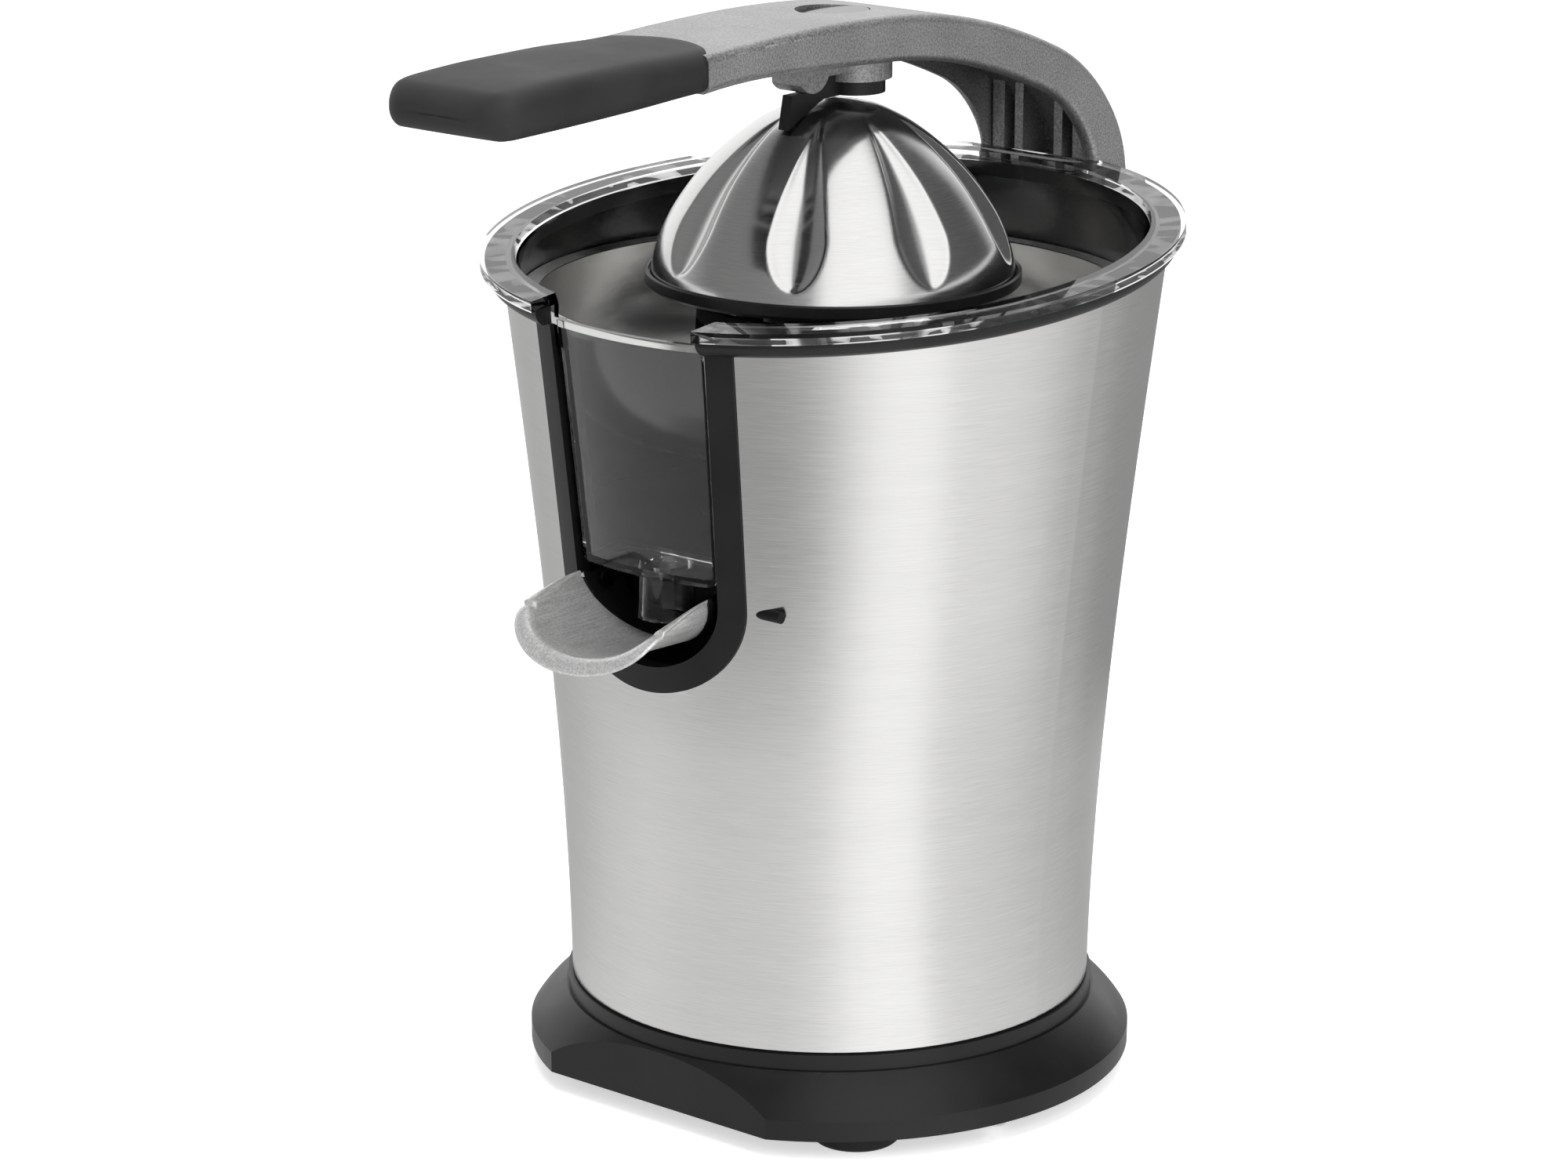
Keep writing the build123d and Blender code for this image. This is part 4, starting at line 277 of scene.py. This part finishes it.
away_from_axis = ((1, 1, 0), (0, 0, 0))
upward = ((0, 0, 0), (0, 0, 1))
steel_body = brushed_metal(
    "brushed_body_steel",
    dark=(0.66, 0.655, 0.645),
    light=(0.77, 0.765, 0.755),
    rough=(0.15, 0.24),
    anisotropy=0.8,
    # Painted shade: the shell's inner face, turned towards the axis inside the body, is dark.
    painted_shade=(0.02, 0.02, 0.021),
    bright_side=away_from_axis,
)
steel_sieve = brushed_metal(
    "sieve_steel",
    dark=(0.6, 0.595, 0.58),
    light=(0.7, 0.69, 0.675),
    rough=(0.18, 0.26),
    anisotropy=0.6,
    # Painted shade: the sieve's faces that turn downward are dark.
    painted_shade=(0.04, 0.04, 0.04),
    bright_side=upward,
)
steel_cone = brushed_metal(
    "cone_steel",
    dark=(0.64, 0.635, 0.63),
    light=(0.74, 0.735, 0.73),
    rough=(0.13, 0.2),
    anisotropy=0.6,
)
steel_spout = drawn_sheet(
    "spout_steel",
    dark=(0.58, 0.575, 0.57),
    light=(0.88, 0.875, 0.87),
    rough=(0.28, 0.4),
)
black_satin = moulded_plastic(
    "black_satin_plastic",
    dark=(0.006, 0.006, 0.0065),
    light=(0.010, 0.010, 0.011),
    rough=(0.28, 0.38),
)
black_matte = moulded_plastic(
    "black_inner_plastic",
    dark=(0.004, 0.004, 0.004),
    light=(0.007, 0.007, 0.007),
    rough=(0.4, 0.5),
    shine=0.18,
)
grip_soft = moulded_plastic(
    "soft_grip",
    dark=(0.016, 0.016, 0.017),
    light=(0.024, 0.024, 0.025),
    rough=(0.5, 0.62),
    grain=2600.0,
    depth=0.4,
)
badge_gloss = moulded_plastic(
    "badge_gloss",
    dark=(0.012, 0.012, 0.013),
    light=(0.02, 0.02, 0.022),
    rough=(0.08, 0.14),
    grain=900.0,
    depth=0.05,
    shine=0.5,
)
rubber = moulded_plastic(
    "feet_rubber",
    dark=(0.008, 0.008, 0.008),
    light=(0.016, 0.016, 0.016),
    rough=(0.65, 0.8),
    grain=1500.0,
    depth=0.5,
)
white_nylon = moulded_plastic("natural_nylon", (0.62, 0.6, 0.54), (0.74, 0.72, 0.66), rough=(0.35, 0.5))
grey_case = moulded_plastic("grey_case_plastic", (0.1, 0.1, 0.11), (0.14, 0.14, 0.15), rough=(0.4, 0.55))
silver_paint = metallic_paint("silver_paint", (0.2, 0.2, 0.205), (0.5, 0.5, 0.505))
clear = clear_plastic("clear_bowl_plastic")
dark_steel = machined_metal("blackened_steel", (0.02, 0.02, 0.021), (0.045, 0.045, 0.047), rough=(0.35, 0.5))
zinc = machined_metal("zinc_plated_steel", (0.5, 0.51, 0.53), (0.68, 0.69, 0.7))
bronze = machined_metal("sintered_bronze", (0.36, 0.22, 0.1), (0.5, 0.33, 0.16), rough=(0.4, 0.6))
iron = machined_metal("laminated_iron", (0.16, 0.165, 0.18), (0.3, 0.3, 0.32), rough=(0.45, 0.6))
copper = wound_wire("copper_winding")

finishes = {
    steel_body: ["body_shell"],
    steel_spout: ["spout"],
    steel_sieve: ["sieve"],
    steel_cone: ["cone"],
    black_satin: [
        "base_plinth",
        "slot_trim",
        "rim_bezel",
        "cone_collar",
        "presser",
        "hinge_housing",
        "cord_gland",
    ],
    black_matte: ["base_cover", "inner_housing", "sieve_turret", "spout_back_wall", "gland_nut"],
    grip_soft: ["lever_grip"],
    silver_paint: ["lever_arm"],
    clear: ["juice_bowl"],
    badge_gloss: ["lever_badge"],
    rubber: ["rubber_feet", "shaft_seal"],
    white_nylon: ["hinge_bushes", "output_gear", "idler_gear", "motor_pinion", "switch_plunger"],
    grey_case: ["gearbox_housing", "gearbox_lid", "motor_fan", "start_switch"],
    zinc: [
        "base_cover_screws",
        "chassis_screws",
        "deck_screws",
        "hinge_screws",
        "hinge_pin",
        "presser_screw",
        "idler_pin",
        "switch_screws",
        "motor_screws",
        "drive_shaft",
        "motor_shaft",
        "shaft_spring",
        "switch_bracket",
        "motor_brackets",
    ],
    dark_steel: ["spout_pivot_pins"],
    bronze: ["shaft_bush", "output_bushes", "motor_bushes"],
    iron: ["motor_stator", "motor_rotor"],
    copper: ["motor_windings"],
}
for material, names in finishes.items():
    for name in names:
        mesh = nodes[name].data
        mesh.materials.clear()
        mesh.materials.append(material)


# ---------------------------------------------------------------- camera
# One pinhole camera, fitted to the photograph. Its turn is from the front towards the right.
camera_place = Vector((0.78271, -0.97717, 0.48885))
camera_azimuth_degrees = 38.69
aim_past_axis_degrees = 0.589
camera_turn = radians(camera_azimuth_degrees + aim_past_axis_degrees)
camera_pitch = radians(15.92)
camera_roll = radians(0.135)
forward = Vector(
    (
        -sin(camera_turn) * cos(camera_pitch),
        cos(camera_turn) * cos(camera_pitch),
        -sin(camera_pitch),
    )
)
right = Vector((cos(camera_turn), sin(camera_turn), 0))
up = right.cross(forward)
rolled_right = right * cos(camera_roll) + up * sin(camera_roll)
rolled_up = up * cos(camera_roll) - right * sin(camera_roll)
camera_data = bpy.data.cameras.new("camera")
camera_data.sensor_fit = "HORIZONTAL"
camera_data.sensor_width = 36.0
camera_data.lens = 111.155
camera_data.clip_start = 0.05
camera_data.clip_end = 50.0
camera = bpy.data.objects.new("camera", camera_data)
bpy.context.scene.collection.objects.link(camera)
axes = Matrix((rolled_right, rolled_up, -forward)).transposed()
camera.matrix_world = Matrix.Translation(camera_place) @ axes.to_4x4()
bpy.context.scene.camera = camera


# ---------------------------------------------------------------- shape helpers
# From here to the grip, lengths are in millimetres and areas in square millimetres.
weld_distance = 0.002
sliver_area = 0.004


def smooth_value(knots, place):
    """Value at a place on a smooth curve through (place, value) knots."""
    if place <= knots[0][0]:
        return knots[0][1]
    if place >= knots[-1][0]:
        return knots[-1][1]
    slopes = [(b[1] - a[1]) / (b[0] - a[0]) for a, b in zip(knots, knots[1:])]
    tangents = [slopes[0]]
    for before, after in zip(slopes, slopes[1:]):
        tangents.append(0.0 if before * after <= 0 else 2 * before * after / (before + after))
    tangents.append(slopes[-1])
    for index, (low, high) in enumerate(zip(knots, knots[1:])):
        if place <= high[0]:
            span = high[0] - low[0]
            t = (place - low[0]) / span
            begin = (2 * t**3 - 3 * t**2 + 1) * low[1] + (t**3 - 2 * t**2 + t) * span * tangents[index]
            return begin + (3 * t**2 - 2 * t**3) * high[1] + (t**3 - t**2) * span * tangents[index + 1]


def smooth_path(knots, count):
    """Points spaced evenly along a smooth curve through (x, y) knots."""
    lengths = [0.0]
    for a, b in zip(knots, knots[1:]):
        lengths.append(lengths[-1] + sqrt((b[0] - a[0]) ** 2 + (b[1] - a[1]) ** 2))
    xs = [(distance, knot[0]) for distance, knot in zip(lengths, knots)]
    ys = [(distance, knot[1]) for distance, knot in zip(lengths, knots)]
    places = [lengths[-1] * index / count for index in range(count + 1)]
    return [(smooth_value(xs, place), smooth_value(ys, place)) for place in places]


def surface_piece(name, rows, material, body, closed=False, trimmed=False):
    """A smooth quad surface through rows of points.

    In a trimmed one the rows run together along an edge, and the faces between them go.
    """
    width = len(rows[0])
    points = [tuple(c * MM for c in point) for row in rows for point in row]
    faces = []
    for i in range(len(rows) - 1):
        for k in range(width if closed else width - 1):
            after = (k + 1) % width
            faces.append((i * width + k, i * width + after, (i + 1) * width + after, (i + 1) * width + k))
    mesh = bpy.data.meshes.new(name)
    mesh.from_pydata(points, [], faces)
    shape = bmesh.new()
    shape.from_mesh(mesh)
    bmesh.ops.remove_doubles(shape, verts=shape.verts, dist=weld_distance * MM)
    if trimmed:
        slivers = [face for face in shape.faces if face.calc_area() < sliver_area * MM * MM]
        bmesh.ops.delete(shape, geom=slivers, context="FACES")
    bmesh.ops.recalc_face_normals(shape, faces=shape.faces)
    shape.to_mesh(mesh)
    shape.free()
    for face in mesh.polygons:
        face.use_smooth = True
    mesh.materials.append(material)
    made = bpy.data.objects.new(name, mesh)
    bpy.context.scene.collection.objects.link(made)
    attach(made, body)
    return made


# ---------------------------------------------------------------- fluted cone
# The dome's meridian as (radius, height).
dome_knots = (
    (48.4, 218.9),
    (47.6, 223.0),
    (46.1, 228.0),
    (43.4, 234.0),
    (39.7, 240.0),
    (35.1, 246.0),
    (30.2, 251.0),
    (24.8, 255.6),
    (18.4, 259.9),
    (10.2, 263.5),
    (0.0, 265.2),
)
foot_turned_in = 0.92

# Flutes: a part of the way up is 0 at the foot and 1 at the tip, and the front is at -90 degrees.
flute_pitch = 2 * pi / 8
flute_first = radians(26.0 - 90.0)
flute_low, flute_widest, flute_high = 0.06, 0.24, 0.81
flute_half_chord = 7.6
flute_narrowing = 1.15
flute_depth_to_half = 0.43
flute_edge_softness = 0.28
flute_end_half, flute_full_half = 0.05, 1.2
cone_columns = 400
cone_rows = 110


def flute_half(part):
    """Half the width of a flute at a part of the way up the cone."""
    if part <= flute_low or part >= flute_high:
        return 0.0
    if part < flute_widest:
        fall = (flute_widest - part) / (flute_widest - flute_low)
        return flute_half_chord * sqrt(1 - fall * fall)
    climb = (part - flute_widest) / (flute_high - flute_widest)
    return flute_half_chord * (1 - climb**flute_narrowing)


def flute_depth(angle, radius, half):
    """How far the dome is pressed in at an angle, on a ring whose flutes have half this width."""
    if half <= flute_end_half:
        return 0.0
    off = (angle - flute_first + flute_pitch / 2) % flute_pitch - flute_pitch / 2
    hollow = flute_depth_to_half * half * (1 - (off * radius / half) ** 2)
    softened = 0.5 * (hollow + sqrt(hollow * hollow + flute_edge_softness * flute_edge_softness))
    return softened * min(1.0, half / flute_full_half)


meridian = smooth_path(dome_knots, cone_rows)
cone_angles = [2 * pi * column / cone_columns for column in range(cone_columns)]
foot_radius, foot_height = dome_knots[0]
turned_in = foot_turned_in * foot_radius
cone_shape = [[(turned_in * cos(angle), turned_in * sin(angle), foot_height) for angle in cone_angles]]
for index, (radius, height) in enumerate(meridian):
    low, high = meridian[max(0, index - 1)], meridian[min(cone_rows, index + 1)]
    run = Vector((high[0] - low[0], high[1] - low[1])).normalized()
    half = flute_half(index / cone_rows)
    row = []
    for angle in cone_angles:
        sunk = flute_depth(angle, radius, half)
        reach = radius - sunk * run[1]
        row.append((reach * cos(angle), reach * sin(angle), height + sunk * run[0]))
    cone_shape.append(row)
cone_piece = surface_piece("fluted_cone", cone_shape, steel_cone, "cone_unit", closed=True)
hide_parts("cone")


# ---------------------------------------------------------------- spout with its rolled lip
# Across, the trough is half an ellipse. It widens and its floor rises from its back to its end.
trough_back, trough_end = -61.6, -104.8
trough_top = 149.6
half_at_back, half_gain = 20.5, 1.0
floor_at_back, floor_gain = 133.6, 2.4
floor_upturn_from, floor_upturn_length, floor_upturn = -94.8, 11.0, 1.3
sheet_wall = 0.8

# Seen from above its nose is rounded about a centre, and the lip rolls outward round its edge.
nose_tip = -108.8
nose_centre = -96.0
nose_half = 22.3
nose_lip_width = 3.2
lip_radius_nose = 4.6
lip_radius_knots = (
    (nose_tip, lip_radius_nose),
    (-101.0, 4.2),
    (-93.0, 2.6),
    (-76.0, 0.9),
    (trough_back, 0.5),
)
lip_top_knots = (
    (nose_tip, 145.9),
    (nose_centre, 147.0),
    (-76.0, 149.5),
    (-74.8, 148.6),
    (trough_back, 148.6),
)
lip_sweep = radians(84.0)
crease_drop = 0.9

# The steel ends behind along a curve that runs forward as it climbs the sides.
sheet_back_floor, sheet_back_sweep, sheet_back_power = -70.0, 7.8, 0.7
straight_share = 0.55
direction_step = 0.004
lip_steps = 8
trough_columns = 40
trough_rows = 70


def trough_part(y):
    """Part of the way from the trough's back to its end."""
    return (y - trough_back) / (trough_end - trough_back)


def trough_half(y):
    return half_at_back + half_gain * trough_part(y)


def trough_floor(y):
    rise = max(0.0, (floor_upturn_from - y) / floor_upturn_length)
    return floor_at_back + floor_gain * trough_part(y) + floor_upturn * rise * rise


def trough_point(y, angle):
    """Inner face of the trough: angle 0 is its bottom, a quarter turn its side."""
    depth = trough_top - trough_floor(y)
    return Vector((trough_half(y) * sin(angle), y, trough_top - depth * cos(angle)))


def lip_radius(y):
    return smooth_value(lip_radius_knots, y)


def crease_angle(y):
    """How far up the side the crease runs, where the trough turns into its lip."""
    lowered = smooth_value(lip_top_knots, y) - crease_drop * lip_radius(y)
    by_height = pi / 2 - asin((trough_top - lowered) / (trough_top - trough_floor(y)))
    if y >= nose_centre:
        return by_height
    part = min(1.0, (nose_centre - y) / (nose_centre - nose_tip - lip_radius_nose))
    by_plan = asin(min(1.0, (nose_half - nose_lip_width) * sqrt(1 - part * part) / trough_half(y)))
    return min(by_height, by_plan)


def crease_place(part):
    """Where along Y the crease is, a part of the way from the back to the nose."""
    tip = nose_tip + lip_radius_nose
    if part < straight_share:
        return trough_back + (nose_centre - trough_back) * part / straight_share
    return nose_centre + (tip - nose_centre) * sin(pi / 2 * (part - straight_share) / (1 - straight_share))


def crease_point(part):
    y = crease_place(part)
    return trough_point(y, crease_angle(y))


def crease_direction(part):
    """Which way the crease runs, a part of the way from the back to the nose."""
    if part == 1.0:
        return Vector((-1, 0, 0))
    before = crease_point(max(0.0, part - direction_step))
    after = crease_point(min(1.0, part + direction_step))
    return (after - before).normalized()


def sheet_back(angle):
    """Where the steel of the trough ends and its black carrier begins."""
    return sheet_back_floor - sheet_back_sweep * (1 - cos(angle)) ** sheet_back_power


def trough_rows_between(steel):
    """Rows of the trough: its steel in front, or its carrier behind."""

    def kept(y, angle):
        return min(y, sheet_back(angle)) if steel else max(y, sheet_back(angle))

    rows = []
    for index in range(trough_rows + 1):
        part = index / trough_rows
        row_y = crease_place(part)
        turn = crease_angle(row_y)
        y = kept(row_y, turn)
        crease = trough_point(y, turn)
        depth = trough_top - trough_floor(y)
        inward = Vector((-sin(turn) / trough_half(y), 0, cos(turn) / depth)).normalized()
        outward = crease_direction(part).cross(inward).normalized()
        faces_in = outward.y > 0 if index == trough_rows else outward.x < 0
        if faces_in:
            outward = -outward
        radius = lip_radius(y)
        lip = []
        for step in range(lip_steps, 0, -1):
            swing = lip_sweep * step / lip_steps
            lip.append(crease + radius * (sin(swing) * outward - (1 - cos(swing)) * inward))
        angles = [turn * (1 - 2 * k / trough_columns) for k in range(trough_columns + 1)]
        arc = [trough_point(kept(row_y, angle), angle) for angle in angles]
        mirrored_lip = [Vector((-p.x, p.y, p.z)) for p in reversed(lip)]
        rows.append([tuple(p) for p in lip + arc + mirrored_lip])
    return rows


def sheet_piece(name, steel, material):
    """One of the trough's two pieces, with the thickness of its wall."""
    made = surface_piece(name, trough_rows_between(steel), material, "spout", trimmed=True)
    wall = made.modifiers.new("wall", "SOLIDIFY")
    wall.thickness = sheet_wall * MM
    wall.offset = -1.0
    return made


spout_piece = sheet_piece("spout_trough", True, steel_spout)
sheet_piece("spout_carrier", False, black_matte)
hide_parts("spout")


# ---------------------------------------------------------------- soft grip
# In the middle its back edge arches backward, and its nose bows a little forward.
grip_nose, grip_back = -151.0, -75.0
grip_length = grip_back - grip_nose
grip_arch, grip_arch_half = 10.0, 20.3
nose_bow, nose_bow_half = 1.0, 21.0
grip_half_knots = ((grip_nose, 20.8), (-105.0, 21.0), (grip_back, 20.25))
grip_top_knots = (
    (grip_nose, 287.0),
    (-140.0, 288.3),
    (-120.0, 289.1),
    (-100.0, 289.2),
    (-80.0, 288.7),
    (-60.0, 288.9),
)
grip_low_knots = (
    (grip_nose, 276.2),
    (-130.0, 276.6),
    (-105.0, 277.3),
    (grip_back, 278.3),
    (-60.0, 278.4),
)
grip_corner_top, grip_corner_low = 5.0, 4.0
grip_crown = 0.2
nose_round_plan, nose_round_top, nose_round_low = 8.0, 5.2, 4.6
nose_cap_scale = 0.02
back_cap_width, back_cap_height, back_cap_sunk = 0.9, 0.8, 0.3
corner_room_share = 0.99
flat_steps, top_corner_steps, low_corner_steps = 12, 9, 8
nose_steps, grip_steps = 12, 40


def inset(distance, radius):
    """How far a rounded end stands in from the side, at a distance from its tip."""
    if distance >= radius:
        return 0.0
    return radius - sqrt(radius * radius - (radius - distance) ** 2)


def grip_section(distance):
    """One closed ring of the grip, at a distance from its nose."""
    y = grip_nose + distance
    half = smooth_value(grip_half_knots, y) - inset(distance, nose_round_plan)
    top = smooth_value(grip_top_knots, y) - inset(distance, nose_round_top)
    low = smooth_value(grip_low_knots, y) + inset(distance, nose_round_low)
    room = (top - low) / 2 * corner_room_share
    upper, lower = min(grip_corner_top, room), min(grip_corner_low, room)
    ring = []
    for k in range(flat_steps + 1):
        x = (half - upper) * (2 * k / flat_steps - 1)
        ring.append((x, top + grip_crown * (1 - (x / half) ** 2)))
    side = []
    for k in range(1, top_corner_steps):
        swing = pi / 2 * k / top_corner_steps
        side.append((half - upper + upper * sin(swing), top - upper + upper * cos(swing)))
    for k in range(low_corner_steps + 1):
        swing = pi / 2 * k / low_corner_steps
        side.append((half - lower + lower * cos(swing), low + lower - lower * sin(swing)))
    ring += side
    ring += [((half - lower) * (1 - 2 * k / flat_steps), low) for k in range(1, flat_steps)]
    ring += [(-x, z) for x, z in reversed(side)]
    made = []
    for x, z in ring:
        rear = grip_back + grip_arch * max(0.0, 1 - (x / grip_arch_half) ** 2)
        front = grip_nose + nose_bow * (x / nose_bow_half) ** 2
        made.append((x, front + (rear - front) * distance / grip_length, z))
    return made


def end_cap(ring, width, height, sunk):
    """A ring drawn together round its middle, and sunk along Y, to close an end."""
    middle = sum(z for x, y, z in ring) / len(ring)
    return [(width * x, y - sunk, middle + height * (z - middle)) for x, y, z in ring]


grip_body = grip_length - nose_round_plan
reaches = [nose_round_plan * (1 - cos(pi / 2 * k / nose_steps)) for k in range(nose_steps + 1)]
reaches += [nose_round_plan + grip_body * k / grip_steps for k in range(1, grip_steps + 1)]
grip_shape = [grip_section(reach) for reach in reaches]
nose_cap = end_cap(grip_shape[0], nose_cap_scale, nose_cap_scale, 0.0)
back_cap = end_cap(grip_shape[-1], back_cap_width, back_cap_height, back_cap_sunk)
grip_rows = [nose_cap, *grip_shape, back_cap]
grip_piece = surface_piece("soft_grip", grip_rows, grip_soft, "lever", closed=True)
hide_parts("lever_grip")


# ---------------------------------------------------------------- studio
studio_strength = 1.3
white = (1, 1, 1, 1)


def studio_turn(g, direction, lean=0.0):
    """Angle of a direction round the studio, from 0 to 1, and its part towards the camera.

    The angle is 0.5 on the camera's own side and grows to its right. A lean adds the camera's level
    direction, so that the angle is that of an upright face which mirrors the direction to the camera.
    """
    split = g.node("ShaderNodeSeparateXYZ")
    g.link(direction, split.inputs[0])
    x, y, _ = split.outputs
    towards = g.math("ADD", g.math("MULTIPLY", x, sin(camera_turn)), g.math("MULTIPLY", y, -cos(camera_turn)))
    beside = g.math("ADD", g.math("MULTIPLY", x, cos(camera_turn)), g.math("MULTIPLY", y, sin(camera_turn)))
    ahead = g.math("ADD", towards, lean)
    turn = g.math("ADD", g.math("MULTIPLY", g.math("ARCTAN2", beside, ahead), 0.5 / pi), 0.5)
    return turn, ahead


def angle_stops(*stops):
    """Stops for studio_turn's angle, from (degrees to the camera's right, level)."""
    return [(0.5 + degrees / 360.0, level) for degrees, level in stops]


def seen_directly(g):
    """1 for a ray from the camera, also one through the clear bowl, and 0 for other rays."""
    rays = g.node("ShaderNodeLightPath")
    return g.math("MAXIMUM", rays.outputs["Is Camera Ray"], rays.outputs["Is Transmission Ray"])


def mixed_shaders(g, share, first, second):
    """The first shader where the share is 0 and the second where it is 1."""
    made = g.node("ShaderNodeMixShader")
    if isinstance(share, float):
        made.inputs[0].default_value = share
    else:
        g.link(share, made.inputs[0])
    g.link(first.outputs[0], made.inputs[1])
    g.link(second.outputs[0], made.inputs[2])
    return made


# The room that the steel mirrors: grey levels round the part, and light from behind it.
# The camera itself sees white.
world = bpy.data.worlds.new("studio")
bpy.context.scene.world = world
room = Graph(world, "ShaderNodeOutputWorld")
room_direction = room.node("ShaderNodeTexCoord").outputs["Generated"]
room_turn, room_ahead = studio_turn(room, room_direction, lean=cos(camera_pitch))
strips = room.levels(
    room_turn,
    angle_stops(
        (-90, 0.25),
        (-78, 0.7),
        (-62, 0.75),
        (-54, 0.32),
        (-45, 0.17),
        (-22, 0.20),
        (-8, 0.26),
        (-3, 0.98),
        (20, 1.0),
        (26, 0.4),
        (38, 0.10),
        (68, 0.07),
        (90, 0.2),
    ),
)
behind = room.levels(room_ahead, [(0.0, 0.9), (0.2, 0.8), (0.45, 0.0)])
lit = room.node("ShaderNodeBackground")
room.link(room.math("MULTIPLY", room.math("MAXIMUM", strips, behind), studio_strength), lit.inputs["Color"])
backdrop = room.node("ShaderNodeBackground", {"Color": white})
shown_room = mixed_shaders(room, seen_directly(room), lit, backdrop)
room.link(shown_room.outputs[0], room.output.inputs["Surface"])


def area_light(name, place, width, height, power):
    """A soft box that shines on the middle of the part; the part doesn't mirror it."""
    data = bpy.data.lights.new(name, "AREA")
    data.shape = "RECTANGLE"
    data.size = width
    data.size_y = height
    data.energy = power
    lamp = bpy.data.objects.new(name, data)
    lamp.location = place
    lamp.rotation_mode = "QUATERNION"
    lamp.rotation_quaternion = (lamp_target - Vector(place)).to_track_quat("-Z", "Y")
    lamp.visible_glossy = False
    bpy.context.scene.collection.objects.link(lamp)


lamp_target = Vector((0, 0, 0.15))
area_light("key_right", (1.1, -0.35, 0.75), width=0.6, height=1.0, power=7.0)
area_light("fill_left", (-0.5, -1.2, 0.6), width=0.9, height=1.2, power=5.0)
area_light("top", (0.0, 0.0, 1.3), width=1.0, height=1.0, power=14.0)

floor_mesh = bpy.data.meshes.new("floor")
floor_half = 6.0
floor_signs = ((-1, -1), (1, -1), (1, 1), (-1, 1))
floor_corners = [(x * floor_half, y * floor_half, 0) for x, y in floor_signs]
floor_mesh.from_pydata(floor_corners, [], [(0, 1, 2, 3)])
floor = bpy.data.objects.new("floor", floor_mesh)
bpy.context.scene.collection.objects.link(floor)

# Painted reflection: in the steel's reflections the floor glows with grey levels round the part, close to it
# and beyond 0.27 to 0.37 m.
ground = material_graph("studio_floor")
floor_turn, _ = studio_turn(ground, ground.position())
near = ground.levels(
    floor_turn,
    angle_stops(
        (-179, 0.6),
        (-159, 0.55),
        (-140, 0.42),
        (-119, 0.46),
        (-95, 0.58),
        (-73, 0.64),
        (-45, 0.59),
        (-17, 0.62),
        (-6, 0.69),
        (0, 0.77),
        (8, 0.93),
        (18, 0.97),
        (31, 0.95),
        (35, 0.77),
        (42, 0.70),
        (54, 0.65),
        (69, 0.60),
        (85, 0.52),
        (105, 0.44),
        (119, 0.39),
        (140, 0.42),
        (165, 0.55),
    ),
)
far = ground.levels(
    floor_turn,
    angle_stops(
        (-179, 0.5),
        (-140, 0.4),
        (-95, 0.5),
        (-60, 0.42),
        (-45, 0.3),
        (-20, 0.33),
        (-10, 0.38),
        (-3, 0.5),
        (4, 0.66),
        (12, 0.9),
        (20, 0.96),
        (36, 0.95),
        (41, 0.75),
        (61, 0.72),
        (75, 0.64),
        (90, 0.48),
        (105, 0.38),
        (120, 0.28),
        (150, 0.26),
    ),
)
from_axis = ground.node("ShaderNodeVectorMath", operation="LENGTH")
ground.link(ground.position(), from_axis.inputs[0])
further = ground.spread(from_axis.outputs["Value"], 0.0, 1.0, from_low=0.27, from_high=0.37)
floor_level = ground.node("ShaderNodeMix", data_type="FLOAT")
for source, socket in ((further, "Factor"), (near, "A"), (far, "B")):
    ground.link(source, floor_level.inputs[socket])
mirrored = ground.node("ShaderNodeEmission", {"Strength": studio_strength})
ground.link(floor_level.outputs["Result"], mirrored.inputs["Color"])

# The floor as the camera sees it: nearly white, with a soft shadow and a faint reflection.
plain = ground.node("ShaderNodeBsdfDiffuse", {"Color": (0.85, 0.85, 0.85, 1)})
polish = ground.node("ShaderNodeBsdfGlossy", {"Color": white, "Roughness": 0.12})
glow = ground.node("ShaderNodeEmission", {"Color": white, "Strength": 0.55})
lightened = ground.node("ShaderNodeAddShader")
ground.link(mixed_shaders(ground, 0.12, plain, polish).outputs[0], lightened.inputs[0])
ground.link(glow.outputs[0], lightened.inputs[1])
glossy_ray = ground.node("ShaderNodeLightPath").outputs["Is Glossy Ray"]
unseen = mixed_shaders(ground, glossy_ray, plain, mirrored)
shown_floor = mixed_shaders(ground, seen_directly(ground), unseen, lightened)
ground.link(shown_floor.outputs[0], ground.output.inputs["Surface"])
floor_mesh.materials.append(ground.owner)

bpy.context.scene.view_settings.view_transform = "Standard"
